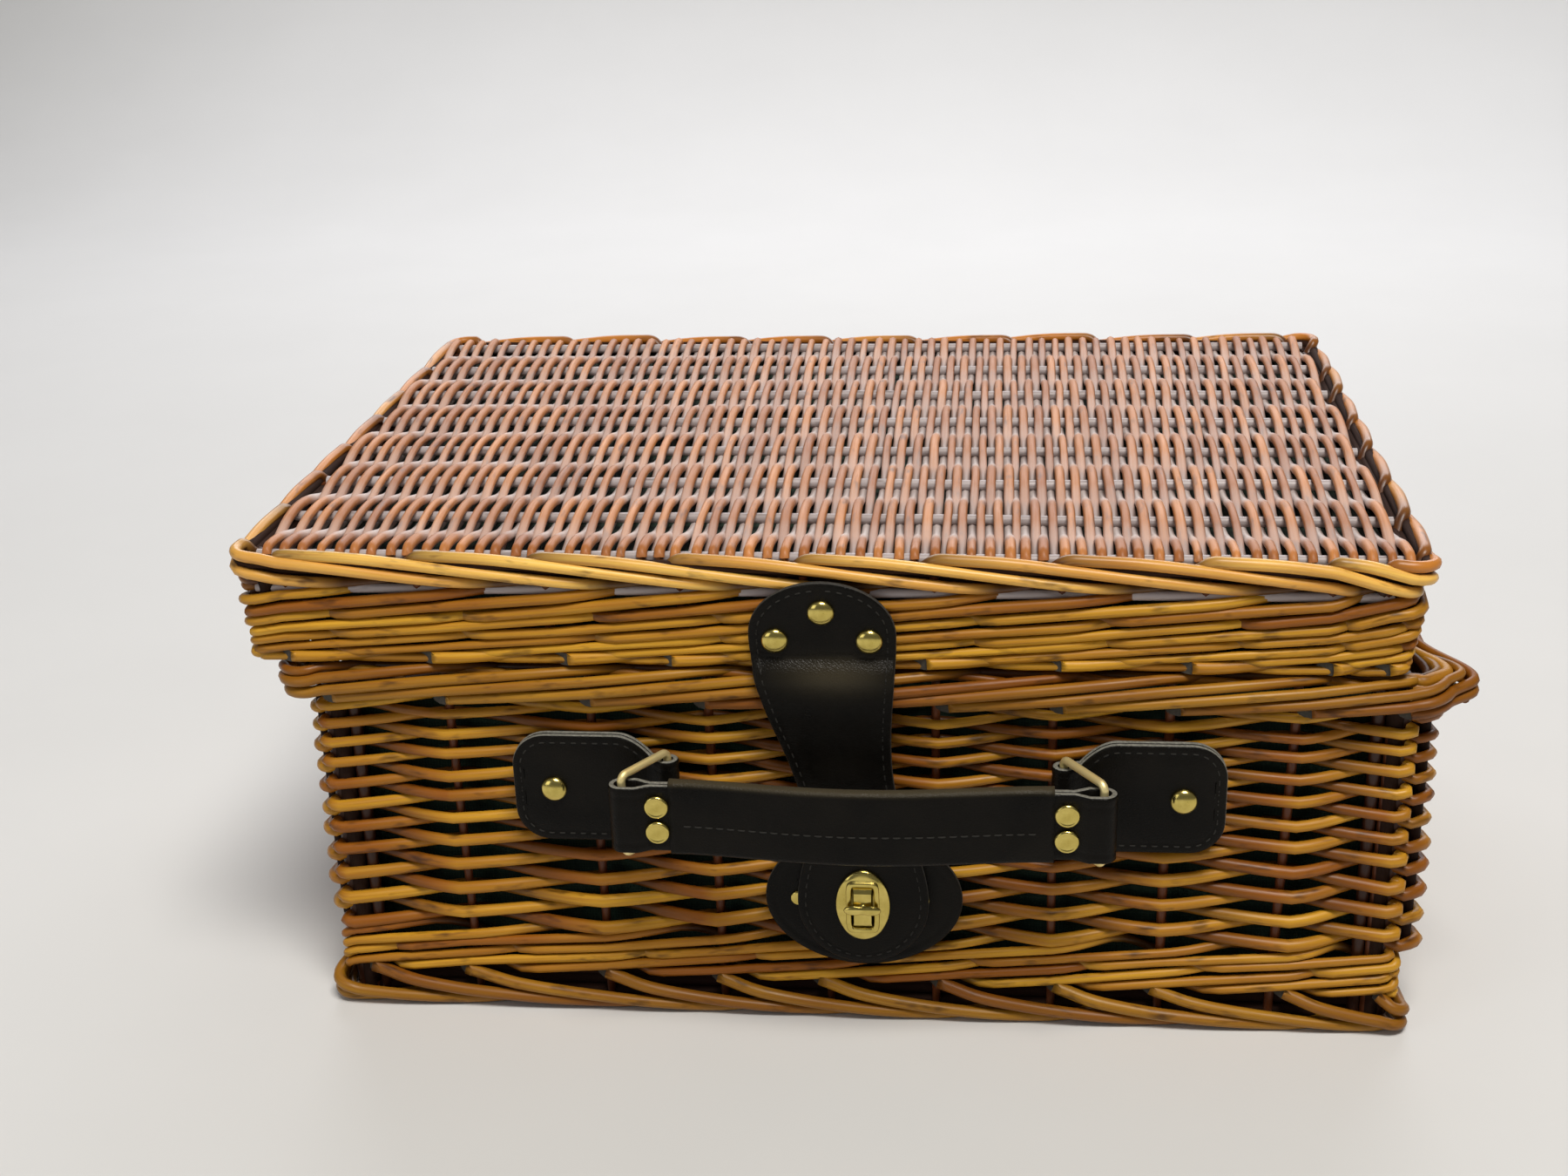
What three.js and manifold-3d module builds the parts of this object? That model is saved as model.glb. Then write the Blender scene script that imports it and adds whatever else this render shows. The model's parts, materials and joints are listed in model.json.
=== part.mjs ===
// Picnic hamper: a willow basket with a hinged willow lid, leather fittings and brass hardware.
// Millimetres, +Z up, the front faces -Y. Every size below is the real size of a piece.
import * as THREE from 'three';
import { mergeVertices } from 'three/addons/utils/BufferGeometryUtils.js';
import Module from 'manifold-3d';

const wasm = await Module();
wasm.setup();

// Gaps between pieces that touch, and fits of moving pieces
const SEAT_GAP = 0.3;
const LID_GAP = 0.5;
const HOLE_CLEARANCE = 0.3;
const WIRE_CLEARANCE = 0.4;
const FLAP_GAP = 0.3;
// How far a cutting tool runs past the faces that it goes through
const CUT_PAST = 1;
// Flat left at a rounded end, so that its two arcs stay apart
const END_FLAT = 0.02;

// Base: plan of the siding, weave and borders
const WALL_WIDTH = 442;
const WALL_DEPTH = 314;
const WALL_THICKNESS = 12;
const CORNER_RADIUS = 8;
// Tightest corner that the inside of a wall and a panel bend to
const TIGHT_CORNER = 2;
const STAKES_LONG = 10;
const STAKES_SHORT = 7;
const FOOT_HEIGHT = 20;
const FOOT_OVERHANG = 4;
const WALE_HEIGHT = 16;
const WALE_ROWS = 4;
const SIDING_HEIGHT = 106;
const SIDING_ROWS = 24;
const SIDING_GRADING = 0.2;
const RIM_HEIGHT = 15;
const RIM_OVERHANG = 6;
const WEAVE_DEPTH = 3.4;
const BORDER_DEPTH = 3;
const BORDER_TURN = 1.6;

// Floor and lining of the base
const FLOOR_HEIGHT = 8;
const FLOOR_THICKNESS = 7;
const FLOOR_STICKS = 6;
const FLOOR_WEAVERS = 42;
const LINING_THICKNESS = 1.2;
const LINING_DROP = 4;

// Lid: how far its top border reaches past the wall on every side, and its weave
const LID_OVERHANG = 9;
const LID_SHIFT = -9;
const LID_FLARE = 7.5;
const LID_RIM_HEIGHT = 13;
const LID_WALE_HEIGHT = 20;
const LID_WALE_ROWS = 5;
const LID_BORDER_HEIGHT = 16;
const LID_PANEL_THICKNESS = 7;
const LID_PANEL_SINK = 2;
const LID_STICKS = 6;
const LID_WEAVERS = 126;
const LID_LINING_DROP = 26;

// Leather and rivets
const LEATHER = 2.6;
const DOME_RADIUS = 5.2;
const DOME_HEIGHT = 3.2;
const RIVET_SHANK_RADIUS = 1.6;
const RIVET_EDGE = 0.8;
const FLAT_RIVET_EDGE = 0.6;
const FLAT_RIVET_BEVEL = 0.8;

// Clasp strap on the lid and its flap with the turn lock
const LOCK_X = 4;
const LOCK_Z = 58;
const STRAP_TOP_X = -10;
const STRAP_TOP_DROP = 12;
const STRAP_LIFT = 0.6;
const STRAP_RIVET_INSET = 9;
const STRAP_RIVET_DROP = 12.6;
const STRAP_RIVET_SPREAD = 18.2;
const STRAP_CREASE_DROP = 7.8;
const STRAP_HEAD_WIDTH = 57;
const STRAP_HEAD_ROUND = 23;
const STRAP_WAIST_WIDTH = 38;
const STRAP_WAIST_Z = 102;
const STRAP_END_WIDTH = 53;
const STRAP_END_Z = 30.5;
const STRAP_BEND_Z = 86;
const PATCH_WIDTH = 80;
const PATCH_HEIGHT = 62;
const PATCH_RIVET_SPREAD = 28.5;
const PATCH_RIVET_RADIUS = 3.2;
const PATCH_RIVET_HEIGHT = 1.2;
const LOCK_PLATE_WIDTH = 22;
const LOCK_PLATE_HEIGHT = 32;
const LOCK_PLATE_RISE = 2.2;
const SLOT_WIDTH = 9.4;
const SLOT_HEIGHT = 19;
const SLOT_CORNER = 1.5;
const SLOT_FRAME = 2;
const SLOT_FRAME_RISE = 0.8;
const SLOT_FRAME_CORNER = 2.5;
const LEATHER_SLOT_MARGIN = 1;
const LOCK_SEAT_WIDTH = 16;
const LOCK_SEAT_HEIGHT = 24;
const LOCK_SEAT_THICKNESS = 1;
const KNOB_LENGTH = 15;
const KNOB_WIDTH = 4.4;
const KNOB_THICKNESS = 2.6;
const KNOB_END_FLAT = 0.4;
const KNOB_POST_RADIUS = 2;

// Handle: tabs on the wall, wire rings and the bar
const HANDLE_X = 5;
const HANDLE_Z = 107;
const TAB_SPAN = 156;
const TAB_LENGTH = 63;
const TAB_HEIGHT = 47;
const TAB_CORNER = 14;
const TAB_NECK_HEIGHT = 28.4;
const TAB_NECK_LENGTH = 6;
const TAB_SHOULDER_LENGTH = 15;
const TAB_RIVET_REACH = 46.5;
const WIRE_RADIUS = 1.6;
const RING_LENGTH = 26.4;
const RING_CORNER = 2.6;
const RING_SLACK = 0.5;
const RING_ANGLE_DEG = 34;
const LOOP_TRAVEL = 6;
const LOOP_PLAY = 0.5;
const LOOP_TAPER = 3;
const BAND_HEIGHT = 28.4;
const BAND_ARCH = 6;
const SLEEVE_CLEARANCE = 0.5;
const SLEEVE_LEATHER = 1.4;
const HANDLE_RIVET_RADIUS = 4.4;
const HANDLE_RIVET_HEIGHT = 1.6;
const HANDLE_RIVET_REACH = 13.8;
const HANDLE_RIVET_SPREAD = 11;

// Leather hinges at the back
const HINGE_SPREAD = 260;
const HINGE_WIDTH = 28;
const HINGE_BASE_LENGTH = 46;
const HINGE_LID_LENGTH = 38;
const HINGE_RIVET_INSET = 11;

// Heights that follow from the sizes above
const waleLow = FOOT_HEIGHT + SEAT_GAP;
const sidingLow = waleLow + WALE_HEIGHT + SEAT_GAP;
const rimLow = sidingLow + SIDING_HEIGHT + SEAT_GAP;
const baseTop = rimLow + RIM_HEIGHT;
const lidLow = baseTop + LID_GAP;
const lidWaleLow = lidLow + LID_RIM_HEIGHT + SEAT_GAP;
const lidBorderLow = lidWaleLow + LID_WALE_HEIGHT + SEAT_GAP;
const lidTop = lidBorderLow + LID_BORDER_HEIGHT;
const seamZ = baseTop + LID_GAP / 2;
const frontY = -WALL_DEPTH / 2;
const backY = WALL_DEPTH / 2;
const rimFrontY = frontY - RIM_OVERHANG;
const rimBackY = backY + RIM_OVERHANG;
const lidFootWidth = WALL_WIDTH + 2 * (LID_OVERHANG - LID_FLARE);
const lidFootDepth = WALL_DEPTH + 2 * (LID_OVERHANG - LID_FLARE);
const seamFrontY = Math.min(rimFrontY, -lidFootDepth / 2);
const seamBackY = Math.max(rimBackY, lidFootDepth / 2);
const strapTopZ = lidTop - STRAP_TOP_DROP;
const strapRivetZ = strapTopZ - STRAP_RIVET_INSET;

const materials = {
  willow: () => new THREE.MeshStandardMaterial({ color: 0xb9772f, roughness: 0.55, metalness: 0 }),
  lidWillow: () => new THREE.MeshStandardMaterial({ color: 0x8a4b24, roughness: 0.5, metalness: 0 }),
  leather: () => new THREE.MeshStandardMaterial({ color: 0x241a16, roughness: 0.6, metalness: 0 }),
  brass: () => new THREE.MeshStandardMaterial({ color: 0xd6b45a, roughness: 0.28, metalness: 1 }),
  lining: () => new THREE.MeshStandardMaterial({ color: 0x1f3a2a, roughness: 0.95, metalness: 0 }),
};

// Solids and booleans

function toSolid(geometry) {
  const bare = new THREE.BufferGeometry();
  bare.setAttribute('position', geometry.getAttribute('position').clone());
  if (geometry.index) bare.setIndex(geometry.index.clone());
  const merged = mergeVertices(bare, 1e-4);
  return new wasm.Manifold(new wasm.Mesh({
    numProp: 3,
    vertProperties: new Float32Array(merged.getAttribute('position').array),
    triVerts: new Uint32Array(merged.index.array),
  }));
}

function toGeometry(solid) {
  const mesh = solid.getMesh();
  const geometry = new THREE.BufferGeometry();
  geometry.setAttribute('position', new THREE.BufferAttribute(new Float32Array(mesh.vertProperties), 3));
  geometry.setIndex(new THREE.BufferAttribute(new Uint32Array(mesh.triVerts), 1));
  geometry.computeVertexNormals();
  return geometry;
}

function subtract(geometry, ...tools) {
  return toGeometry(tools.reduce((solid, tool) => solid.subtract(toSolid(tool)), toSolid(geometry)));
}

function intersect(geometry, tool) {
  return toGeometry(toSolid(geometry).intersect(toSolid(tool)));
}

function unite(geometry, tool) {
  return toGeometry(toSolid(geometry).add(toSolid(tool)));
}

function indexedGeometry(points, triangles) {
  const geometry = new THREE.BufferGeometry();
  const numbers = points.flatMap((p) => [p.x, p.y, p.z]);
  geometry.setAttribute('position', new THREE.Float32BufferAttribute(numbers, 3));
  geometry.setIndex(triangles);
  geometry.computeVertexNormals();
  return geometry;
}

// A closed solid swept round a loop: sections[i][j] is point j of section i, and both run round.
// Each four-sided face is split from corner b to corner d where crossed(i, j) says so.
function closedSweep(sections, crossed = () => false) {
  const count = sections.length;
  const around = sections[0].length;
  const triangles = [];
  for (let i = 0; i < count; i += 1) {
    for (let j = 0; j < around; j += 1) {
      const a = i * around + j;
      const b = ((i + 1) % count) * around + j;
      const c = ((i + 1) % count) * around + ((j + 1) % around);
      const d = i * around + ((j + 1) % around);
      triangles.push(...(crossed(i, j) ? [a, b, d, b, c, d] : [a, b, c, a, c, d]));
    }
  }
  return indexedGeometry(sections.flat(), triangles);
}

// A closed solid through a row of four-cornered sections, with both ends capped
function stripLoft(sections) {
  const triangles = [];
  const last = (sections.length - 1) * 4;
  for (let i = 0; i < sections.length - 1; i += 1) {
    for (let j = 0; j < 4; j += 1) {
      const a = i * 4 + j;
      const b = i * 4 + ((j + 1) % 4);
      triangles.push(a, b, b + 4, a, b + 4, a + 4);
    }
  }
  triangles.push(0, 2, 1, 0, 3, 2, last, last + 1, last + 2, last, last + 2, last + 3);
  return indexedGeometry(sections.flat(), triangles);
}

// Flat outlines

function roundedRectangle(width, depth, radius) {
  const x = width / 2;
  const y = depth / 2;
  const shape = new THREE.Shape();
  shape.moveTo(-x + radius, -y);
  shape.lineTo(x - radius, -y);
  shape.absarc(x - radius, -y + radius, radius, -Math.PI / 2, 0);
  shape.lineTo(x, y - radius);
  shape.absarc(x - radius, y - radius, radius, 0, Math.PI / 2);
  shape.lineTo(-x + radius, y);
  shape.absarc(-x + radius, y - radius, radius, Math.PI / 2, Math.PI);
  shape.lineTo(-x, -y + radius);
  shape.absarc(-x + radius, -y + radius, radius, Math.PI, 1.5 * Math.PI);
  return shape;
}

function ellipse(width, height) {
  const shape = new THREE.Shape();
  shape.absellipse(0, 0, width / 2, height / 2, 0, 2 * Math.PI);
  return shape;
}

// A prism on the plan, from one height to another. Its corner arcs take two steps for each curve
// segment, as many as the corners of the willow rings have.
function planPrism(shape, low, high, curveSegments = 1) {
  const settings = { depth: high - low, bevelEnabled: false, curveSegments };
  return new THREE.ExtrudeGeometry(shape, settings).translate(0, 0, low);
}

// A prism drawn on the front, in x and z, from a near depth y to a far depth y
function frontPrism(shape, near, far, curveSegments = 10) {
  const settings = { depth: far - near, bevelEnabled: false, curveSegments };
  return new THREE.ExtrudeGeometry(shape, settings).rotateX(Math.PI / 2).translate(0, far, 0);
}

// A prism drawn on the side, in y and z, of a width along x centred on the origin
function sidePrism(shape, width) {
  const geometry = new THREE.ExtrudeGeometry(shape, { depth: width, bevelEnabled: false });
  return geometry.rotateX(Math.PI / 2).rotateZ(Math.PI / 2).translate(-width / 2, 0, 0);
}

function frontPin(radius, near, far, sides = 10) {
  return new THREE.CylinderGeometry(radius, radius, far - near, sides).translate(0, (near + far) / 2, 0);
}

// Willow rings: the columns stand at the stakes, round a plan with rounded corners

// Each column gives its point on the plan at a reach out from the outline, or in from it below zero
function stakeColumns(width, depth, radius, perBay) {
  const columns = [];
  const corner = (reach) => Math.max(radius + reach, TIGHT_CORNER);
  const flat = (size, reach) => size / 2 + reach - corner(reach);
  let stake = 0;
  for (let turn = 0; turn < 4; turn += 1) {
    const onLongSide = turn % 2 === 0;
    const size = onLongSide ? width : depth;
    const across = onLongSide ? depth : width;
    const bays = (onLongSide ? STAKES_LONG : STAKES_SHORT) - 1;
    const angle = turn * Math.PI / 2;
    const along = new THREE.Vector2(Math.cos(angle), Math.sin(angle));
    const out = new THREE.Vector2(along.y, -along.x);
    const diagonal = along.clone().add(out).normalize();
    for (let step = 0; step <= bays * perBay; step += 1) {
      const share = 2 * step / (bays * perBay) - 1;
      columns.push({
        stake: stake + step / perBay,
        at: (reach) => along.clone().multiplyScalar(share * flat(size, reach))
          .addScaledVector(out, across / 2 + reach),
      });
    }
    columns.push({
      stake: stake + bays + 1,
      at: (reach) => along.clone().multiplyScalar(flat(size, reach))
        .addScaledVector(out, flat(across, reach)).addScaledVector(diagonal, corner(reach)),
    });
    stake += bays + 2;
  }
  return columns;
}

// rows run up the outside as { z, reach(stake) }, and inner gives the two inside corners, low then high
function willowRing(columns, rows, inner) {
  const sections = columns.map(({ at, stake }) => [
    ...rows.map(({ z, reach }) => ({ z, spot: at(reach(stake)) })),
    { z: inner[1].z, spot: at(inner[1].reach) },
    { z: inner[0].z, spot: at(inner[0].reach) },
  ].map(({ z, spot }) => new THREE.Vector3(spot.x, spot.y, z)));
  // A split along the hollows leaves each rod's stroke as a bump of its own
  const standsOut = (i, j) => j < rows.length && rows[j].reach(columns[i].stake)
    > rows[j].reach(columns[(i + 1) % columns.length].stake);
  return closedSweep(sections, standsOut);
}

// Randing: one rod in front of and behind every other stake, rows thicker at the bottom
function randingRows(low, high, count) {
  const edge = (z) => ({ z, reach: () => -WEAVE_DEPTH / 2 });
  const rows = [edge(low)];
  for (let row = 0; row < count; row += 1) {
    const share = (row + 0.5) / count;
    const z = low + (high - low) * (share + SIDING_GRADING * share * (1 - share));
    rows.push({ z, reach: (stake) => ((stake + row) % 2 === 0 ? 0 : -WEAVE_DEPTH) });
  }
  rows.push(edge(high));
  return rows;
}

// Waling: three rods in turn, in front of two stakes and behind one
function walingRows(low, high, count, flare) {
  const edge = (z) => ({ z, reach: () => flare(z) - WEAVE_DEPTH / 2 });
  const rows = [edge(low)];
  for (let row = 0; row < count; row += 1) {
    const z = low + (high - low) * (row + 0.5) / count;
    rows.push({ z, reach: (stake) => flare(z) - ((stake + row) % 3 === 0 ? WEAVE_DEPTH : 0) });
  }
  rows.push(edge(high));
  return rows;
}

// Border: slanted rods laid over each other, one a stake, falling to the right
function borderRows(low, high, count, flare) {
  const rows = [];
  for (let row = 0; row <= count; row += 1) {
    const share = row / count;
    const z = low + (high - low) * share;
    const crown = Math.sin(Math.PI * share) - 1;
    const groove = (stake) => (1 - Math.cos(2 * Math.PI * (stake + BORDER_TURN * share))) / 4;
    rows.push({ z, reach: (stake) => flare(z) + BORDER_DEPTH * (crown / 2 - groove(stake)) });
  }
  return rows;
}

function baseRing(rowsOf, low, high, overhang, perBay) {
  const columns = stakeColumns(WALL_WIDTH, WALL_DEPTH, CORNER_RADIUS, perBay);
  const inner = [{ reach: -WALL_THICKNESS, z: low }, { reach: -WALL_THICKNESS, z: high }];
  return willowRing(columns, rowsOf(() => overhang), inner);
}

const lidFlare = (z) => LID_FLARE * (z - lidLow) / (lidTop - lidLow);

function lidRing(rowsOf, low, high, perBay) {
  const columns = stakeColumns(lidFootWidth, lidFootDepth, CORNER_RADIUS, perBay);
  const inner = [low, high].map((z) => ({ reach: lidFlare(z) - WALL_THICKNESS, z }));
  return willowRing(columns, rowsOf(lidFlare), inner);
}

// A woven panel: weavers side by side pass over and under the sticks in turn, and its first and last
// rows lie on the edge sticks. The relief is on the face that shows, and the other face stays flat.
function wovenPanel({ width, depth, radius, low, high, weavers, sticks, relief, showTop }) {
  const over = showTop ? high : low;
  const under = showTop ? high - relief : low + relief;
  const behind = showTop ? low - CUT_PAST : high + CUT_PAST;
  const columns = weavers + 2;
  const rows = sticks + 2;
  const points = Array.from({ length: columns * rows }, (_, i) => {
    const column = i % columns;
    const row = Math.floor(i / columns);
    const x = width * ((column - 0.5) / weavers - 0.5);
    const y = depth * (row / (rows - 1) - 0.5);
    return new THREE.Vector3(x, y, (column + row) % 2 === 0 ? over : under);
  });
  const prism = planPrism(roundedRectangle(width, depth, radius), low, high);
  return intersect(prism, thickSheet(points, columns, rows, behind));
}

// A closed solid between a sheet of points, in rows along x, and a flat level above or below it
function thickSheet(points, columns, rows, level) {
  const triangles = [];
  for (let row = 0; row < rows - 1; row += 1) {
    for (let column = 0; column < columns - 1; column += 1) {
      const a = row * columns + column;
      const [b, c, d] = [a + 1, a + columns + 1, a + columns];
      // A split along the hollows leaves each stroke as a bump of its own
      triangles.push(...((row + column) % 2 === 0 ? [a, b, d, b, c, d] : [a, b, c, a, c, d]));
    }
  }
  const last = columns * rows - 1;
  const rim = [
    ...Array.from({ length: columns - 1 }, (_, i) => i),
    ...Array.from({ length: rows - 1 }, (_, i) => (i + 1) * columns - 1),
    ...Array.from({ length: columns - 1 }, (_, i) => last - i),
    ...Array.from({ length: rows - 1 }, (_, i) => (rows - 1 - i) * columns),
  ];
  const back = rim.map((i) => new THREE.Vector3(points[i].x, points[i].y, level));
  const middle = points.length + rim.length;
  rim.forEach((a, i) => {
    const next = (i + 1) % rim.length;
    const b = rim[next];
    const [c, d] = [points.length + i, points.length + next];
    triangles.push(a, c, b, b, c, d, d, c, middle);
  });
  if (level > points[0].z) triangles.reverse();
  return indexedGeometry([...points, ...back, new THREE.Vector3(0, 0, level)], triangles);
}

// A thin sewn tray, open at one end
function liningTray(width, depth, radius, low, high, openTop) {
  const outside = planPrism(roundedRectangle(width, depth, radius), low, high);
  const wall = LINING_THICKNESS;
  const cavity = roundedRectangle(width - 2 * wall, depth - 2 * wall, radius - wall);
  return subtract(outside, openTop
    ? planPrism(cavity, low + wall, high + CUT_PAST)
    : planPrism(cavity, low - CUT_PAST, high - wall));
}

// Rivets: a head on the leather and a shank through it, facing -Y from the origin on the leather's face
function rivet(radius, height, shank, domed) {
  const crown = domed
    ? new THREE.EllipseCurve(0, RIVET_EDGE, radius, height - RIVET_EDGE, 0, Math.PI / 2).getPoints(3)
    : [
      new THREE.Vector2(radius, height * FLAT_RIVET_EDGE),
      new THREE.Vector2(radius * FLAT_RIVET_BEVEL, height),
      new THREE.Vector2(0, height),
    ];
  const profile = [
    new THREE.Vector2(0, -shank),
    new THREE.Vector2(RIVET_SHANK_RADIUS, -shank),
    new THREE.Vector2(RIVET_SHANK_RADIUS, SEAT_GAP),
    new THREE.Vector2(radius, SEAT_GAP),
    ...crown,
  ];
  profile[profile.length - 1].x = 0;
  const sides = 8;
  return new THREE.LatheGeometry(profile, sides).rotateX(Math.PI);
}

function rivetHole(near, far) {
  return frontPin(RIVET_SHANK_RADIUS + HOLE_CLEARANCE, near, far);
}

// The assembly

const hamper = new THREE.Group();
const base = new THREE.Group();
const lid = new THREE.Group();
hamper.add(base, lid);

function add(parent, name, geometry, material) {
  const mesh = new THREE.Mesh(geometry, material());
  mesh.name = name;
  parent.add(mesh);
  return mesh;
}

// Willow of the base
const insideWidth = WALL_WIDTH - 2 * (WALL_THICKNESS + SEAT_GAP);
const insideDepth = WALL_DEPTH - 2 * (WALL_THICKNESS + SEAT_GAP);
const insideRadius = Math.max(CORNER_RADIUS - WALL_THICKNESS - SEAT_GAP, TIGHT_CORNER);
add(base, 'foot_border', baseRing(
  (flare) => borderRows(0, FOOT_HEIGHT, 2, flare), 0, FOOT_HEIGHT, FOOT_OVERHANG, 3), materials.willow);
add(base, 'bottom_wale', baseRing(
  (flare) => walingRows(waleLow, waleLow + WALE_HEIGHT, WALE_ROWS, flare),
  waleLow, waleLow + WALE_HEIGHT, 0, 1), materials.willow);
add(base, 'side_weave', baseRing(
  () => randingRows(sidingLow, sidingLow + SIDING_HEIGHT, SIDING_ROWS),
  sidingLow, sidingLow + SIDING_HEIGHT, 0, 1), materials.willow);
add(base, 'rim_border', baseRing(
  (flare) => borderRows(rimLow, baseTop, 2, flare), rimLow, baseTop, RIM_OVERHANG, 2), materials.willow);
const floorTop = FLOOR_HEIGHT + FLOOR_THICKNESS;
add(base, 'base_floor', wovenPanel({
  width: insideWidth, depth: insideDepth, radius: insideRadius, low: FLOOR_HEIGHT, high: floorTop,
  weavers: FLOOR_WEAVERS, sticks: FLOOR_STICKS, relief: WEAVE_DEPTH, showTop: false,
}), materials.willow);
add(base, 'base_lining', liningTray(
  insideWidth, insideDepth, insideRadius,
  floorTop + SEAT_GAP, baseTop - LINING_DROP, true), materials.lining);

// Willow of the lid
lid.position.x = LID_SHIFT;
add(lid, 'lid_rim_border', lidRing(
  (flare) => borderRows(lidLow, lidLow + LID_RIM_HEIGHT, 2, flare),
  lidLow, lidLow + LID_RIM_HEIGHT, 2), materials.willow);
add(lid, 'lid_wale', lidRing(
  (flare) => walingRows(lidWaleLow, lidWaleLow + LID_WALE_HEIGHT, LID_WALE_ROWS, flare),
  lidWaleLow, lidWaleLow + LID_WALE_HEIGHT, 1), materials.willow);
add(lid, 'lid_top_border', lidRing(
  (flare) => borderRows(lidBorderLow, lidTop, 2, flare), lidBorderLow, lidTop, 3), materials.lidWillow);
const panelHigh = lidTop - LID_PANEL_SINK;
const panelLow = panelHigh - LID_PANEL_THICKNESS;
const panelInset = 2 * (WALL_THICKNESS + SEAT_GAP - lidFlare(panelLow));
const panelRadius = Math.max(CORNER_RADIUS - panelInset / 2, TIGHT_CORNER);
add(lid, 'lid_panel', wovenPanel({
  width: lidFootWidth - panelInset, depth: lidFootDepth - panelInset, radius: panelRadius,
  low: panelLow, high: panelHigh, weavers: LID_WEAVERS, sticks: LID_STICKS,
  relief: WEAVE_DEPTH, showTop: true,
}), materials.lidWillow);
const lidInset = 2 * (WALL_THICKNESS + SEAT_GAP);
add(lid, 'lid_lining', liningTray(
  lidFootWidth - lidInset, lidFootDepth - lidInset, insideRadius,
  panelLow - SEAT_GAP - LID_LINING_DROP, panelLow - SEAT_GAP, false), materials.lining);

// Depths of the layers at the lock, from the wall outwards
const patchBack = frontY - SEAT_GAP;
const patchFront = patchBack - LEATHER;
const lockSeatFront = patchFront - SEAT_GAP - LOCK_SEAT_THICKNESS;
const strapBack = lockSeatFront - SEAT_GAP;
const strapFront = strapBack - LEATHER;
const plateFront = strapFront - SEAT_GAP - LOCK_PLATE_RISE;
const slotFront = plateFront - SLOT_FRAME_RISE;

// Both halves of the clasp are drawn about the middle of the lock
function lockFrame(parent) {
  const frame = new THREE.Group();
  frame.position.set(LOCK_X - parent.position.x, 0, LOCK_Z);
  parent.add(frame);
  return frame;
}
const lockOnBase = lockFrame(base);
const strapOnLid = lockFrame(lid);

const patchHoles = [-1, 1].map((side) => rivetHole(patchFront - CUT_PAST, patchBack + CUT_PAST)
  .translate(side * PATCH_RIVET_SPREAD, 0, 0));
add(lockOnBase, 'lock_patch', subtract(
  frontPrism(ellipse(PATCH_WIDTH, PATCH_HEIGHT), patchFront, patchBack), ...patchHoles), materials.leather);
for (const [side, sign] of [['left', -1], ['right', 1]]) {
  const stud = add(lockOnBase, `patch_rivet_${side}`,
    rivet(PATCH_RIVET_RADIUS, PATCH_RIVET_HEIGHT, LEATHER, false), materials.brass);
  stud.position.set(sign * PATCH_RIVET_SPREAD, patchFront, 0);
}
add(lockOnBase, 'lock_seat_plate', frontPrism(
  ellipse(LOCK_SEAT_WIDTH, LOCK_SEAT_HEIGHT),
  lockSeatFront, lockSeatFront + LOCK_SEAT_THICKNESS), materials.brass);

// Turn knob: a round post through the slot and a crossbar in front of it
const knobBack = slotFront - WIRE_CLEARANCE;
const knobBar = frontPrism(
  roundedRectangle(KNOB_LENGTH, KNOB_WIDTH, (KNOB_WIDTH - KNOB_END_FLAT) / 2),
  knobBack - KNOB_THICKNESS, knobBack, 3);
add(lockOnBase, 'lock_knob', unite(
  knobBar,
  frontPin(KNOB_POST_RADIUS, knobBack - KNOB_THICKNESS / 2, lockSeatFront - SEAT_GAP)), materials.brass);

// Clasp strap from the lid's rivets down to the bend line, and the flap below it
const bendRise = STRAP_BEND_Z - LOCK_Z;
const endDrop = LOCK_Z - STRAP_END_Z;
const strapRise = strapTopZ - LOCK_Z;
const lidFrontAt = (z) => -lidFootDepth / 2 - lidFlare(z) - SEAT_GAP;

// Half the strap's width: a rounded head, a waist behind the handle and a wide end
function strapHalfWidth(rise) {
  const waist = STRAP_WAIST_Z - LOCK_Z;
  const shoulder = strapRise - STRAP_HEAD_ROUND;
  const ease = (share) => (1 - Math.cos(Math.PI * THREE.MathUtils.clamp(share, 0, 1))) / 2;
  const upper = (STRAP_HEAD_WIDTH - STRAP_WAIST_WIDTH) / 2 * ease((rise - waist) / (shoulder - waist));
  const lower = (STRAP_END_WIDTH - STRAP_WAIST_WIDTH) / 2 * ease((waist - rise) / waist);
  const cap = THREE.MathUtils.clamp((rise - shoulder) / STRAP_HEAD_ROUND, 0, 1);
  return (STRAP_WAIST_WIDTH / 2 + upper + lower) * Math.sqrt(1 - cap * cap);
}

// The lid sits off to one side, so the strap leans from the lock to its head
function strapCentre(rise) {
  const share = (rise - bendRise) / (strapRivetZ - STRAP_RIVET_DROP - LOCK_Z - bendRise);
  return (STRAP_TOP_X - LOCK_X) * Math.sin(Math.PI / 2 * THREE.MathUtils.clamp(share, 0, 1));
}

// The strap's back lies on the lid, bulges over the rim and hangs straight down to the bend line
const headLow = strapRivetZ - STRAP_RIVET_DROP - STRAP_CREASE_DROP;
const headMiddle = (strapTopZ + headLow) / 2;
const strapPath = new THREE.SplineCurve([
  [lidFrontAt(strapTopZ), strapTopZ],
  [lidFrontAt(headMiddle), headMiddle],
  [lidFrontAt(headLow) - STRAP_LIFT, headLow],
  [seamFrontY - SEAT_GAP, seamZ],
  [rimFrontY - SEAT_GAP, rimLow],
  [strapBack, rimLow - RIM_HEIGHT],
  [strapBack, rimLow - 2 * RIM_HEIGHT],
  [strapBack, STRAP_BEND_Z + FLAP_GAP / 2],
].map(([y, z]) => new THREE.Vector2(y, z - LOCK_Z)));

// Share of the path's length at which the strap's back is at a height above the lock
function strapShare(rise) {
  let low = 0;
  let high = 1;
  const halvings = 30;
  for (let step = 0; step < halvings; step += 1) {
    const middle = (low + high) / 2;
    if (strapPath.getPointAt(middle).y > rise) low = middle;
    else high = middle;
  }
  return low;
}

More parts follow.
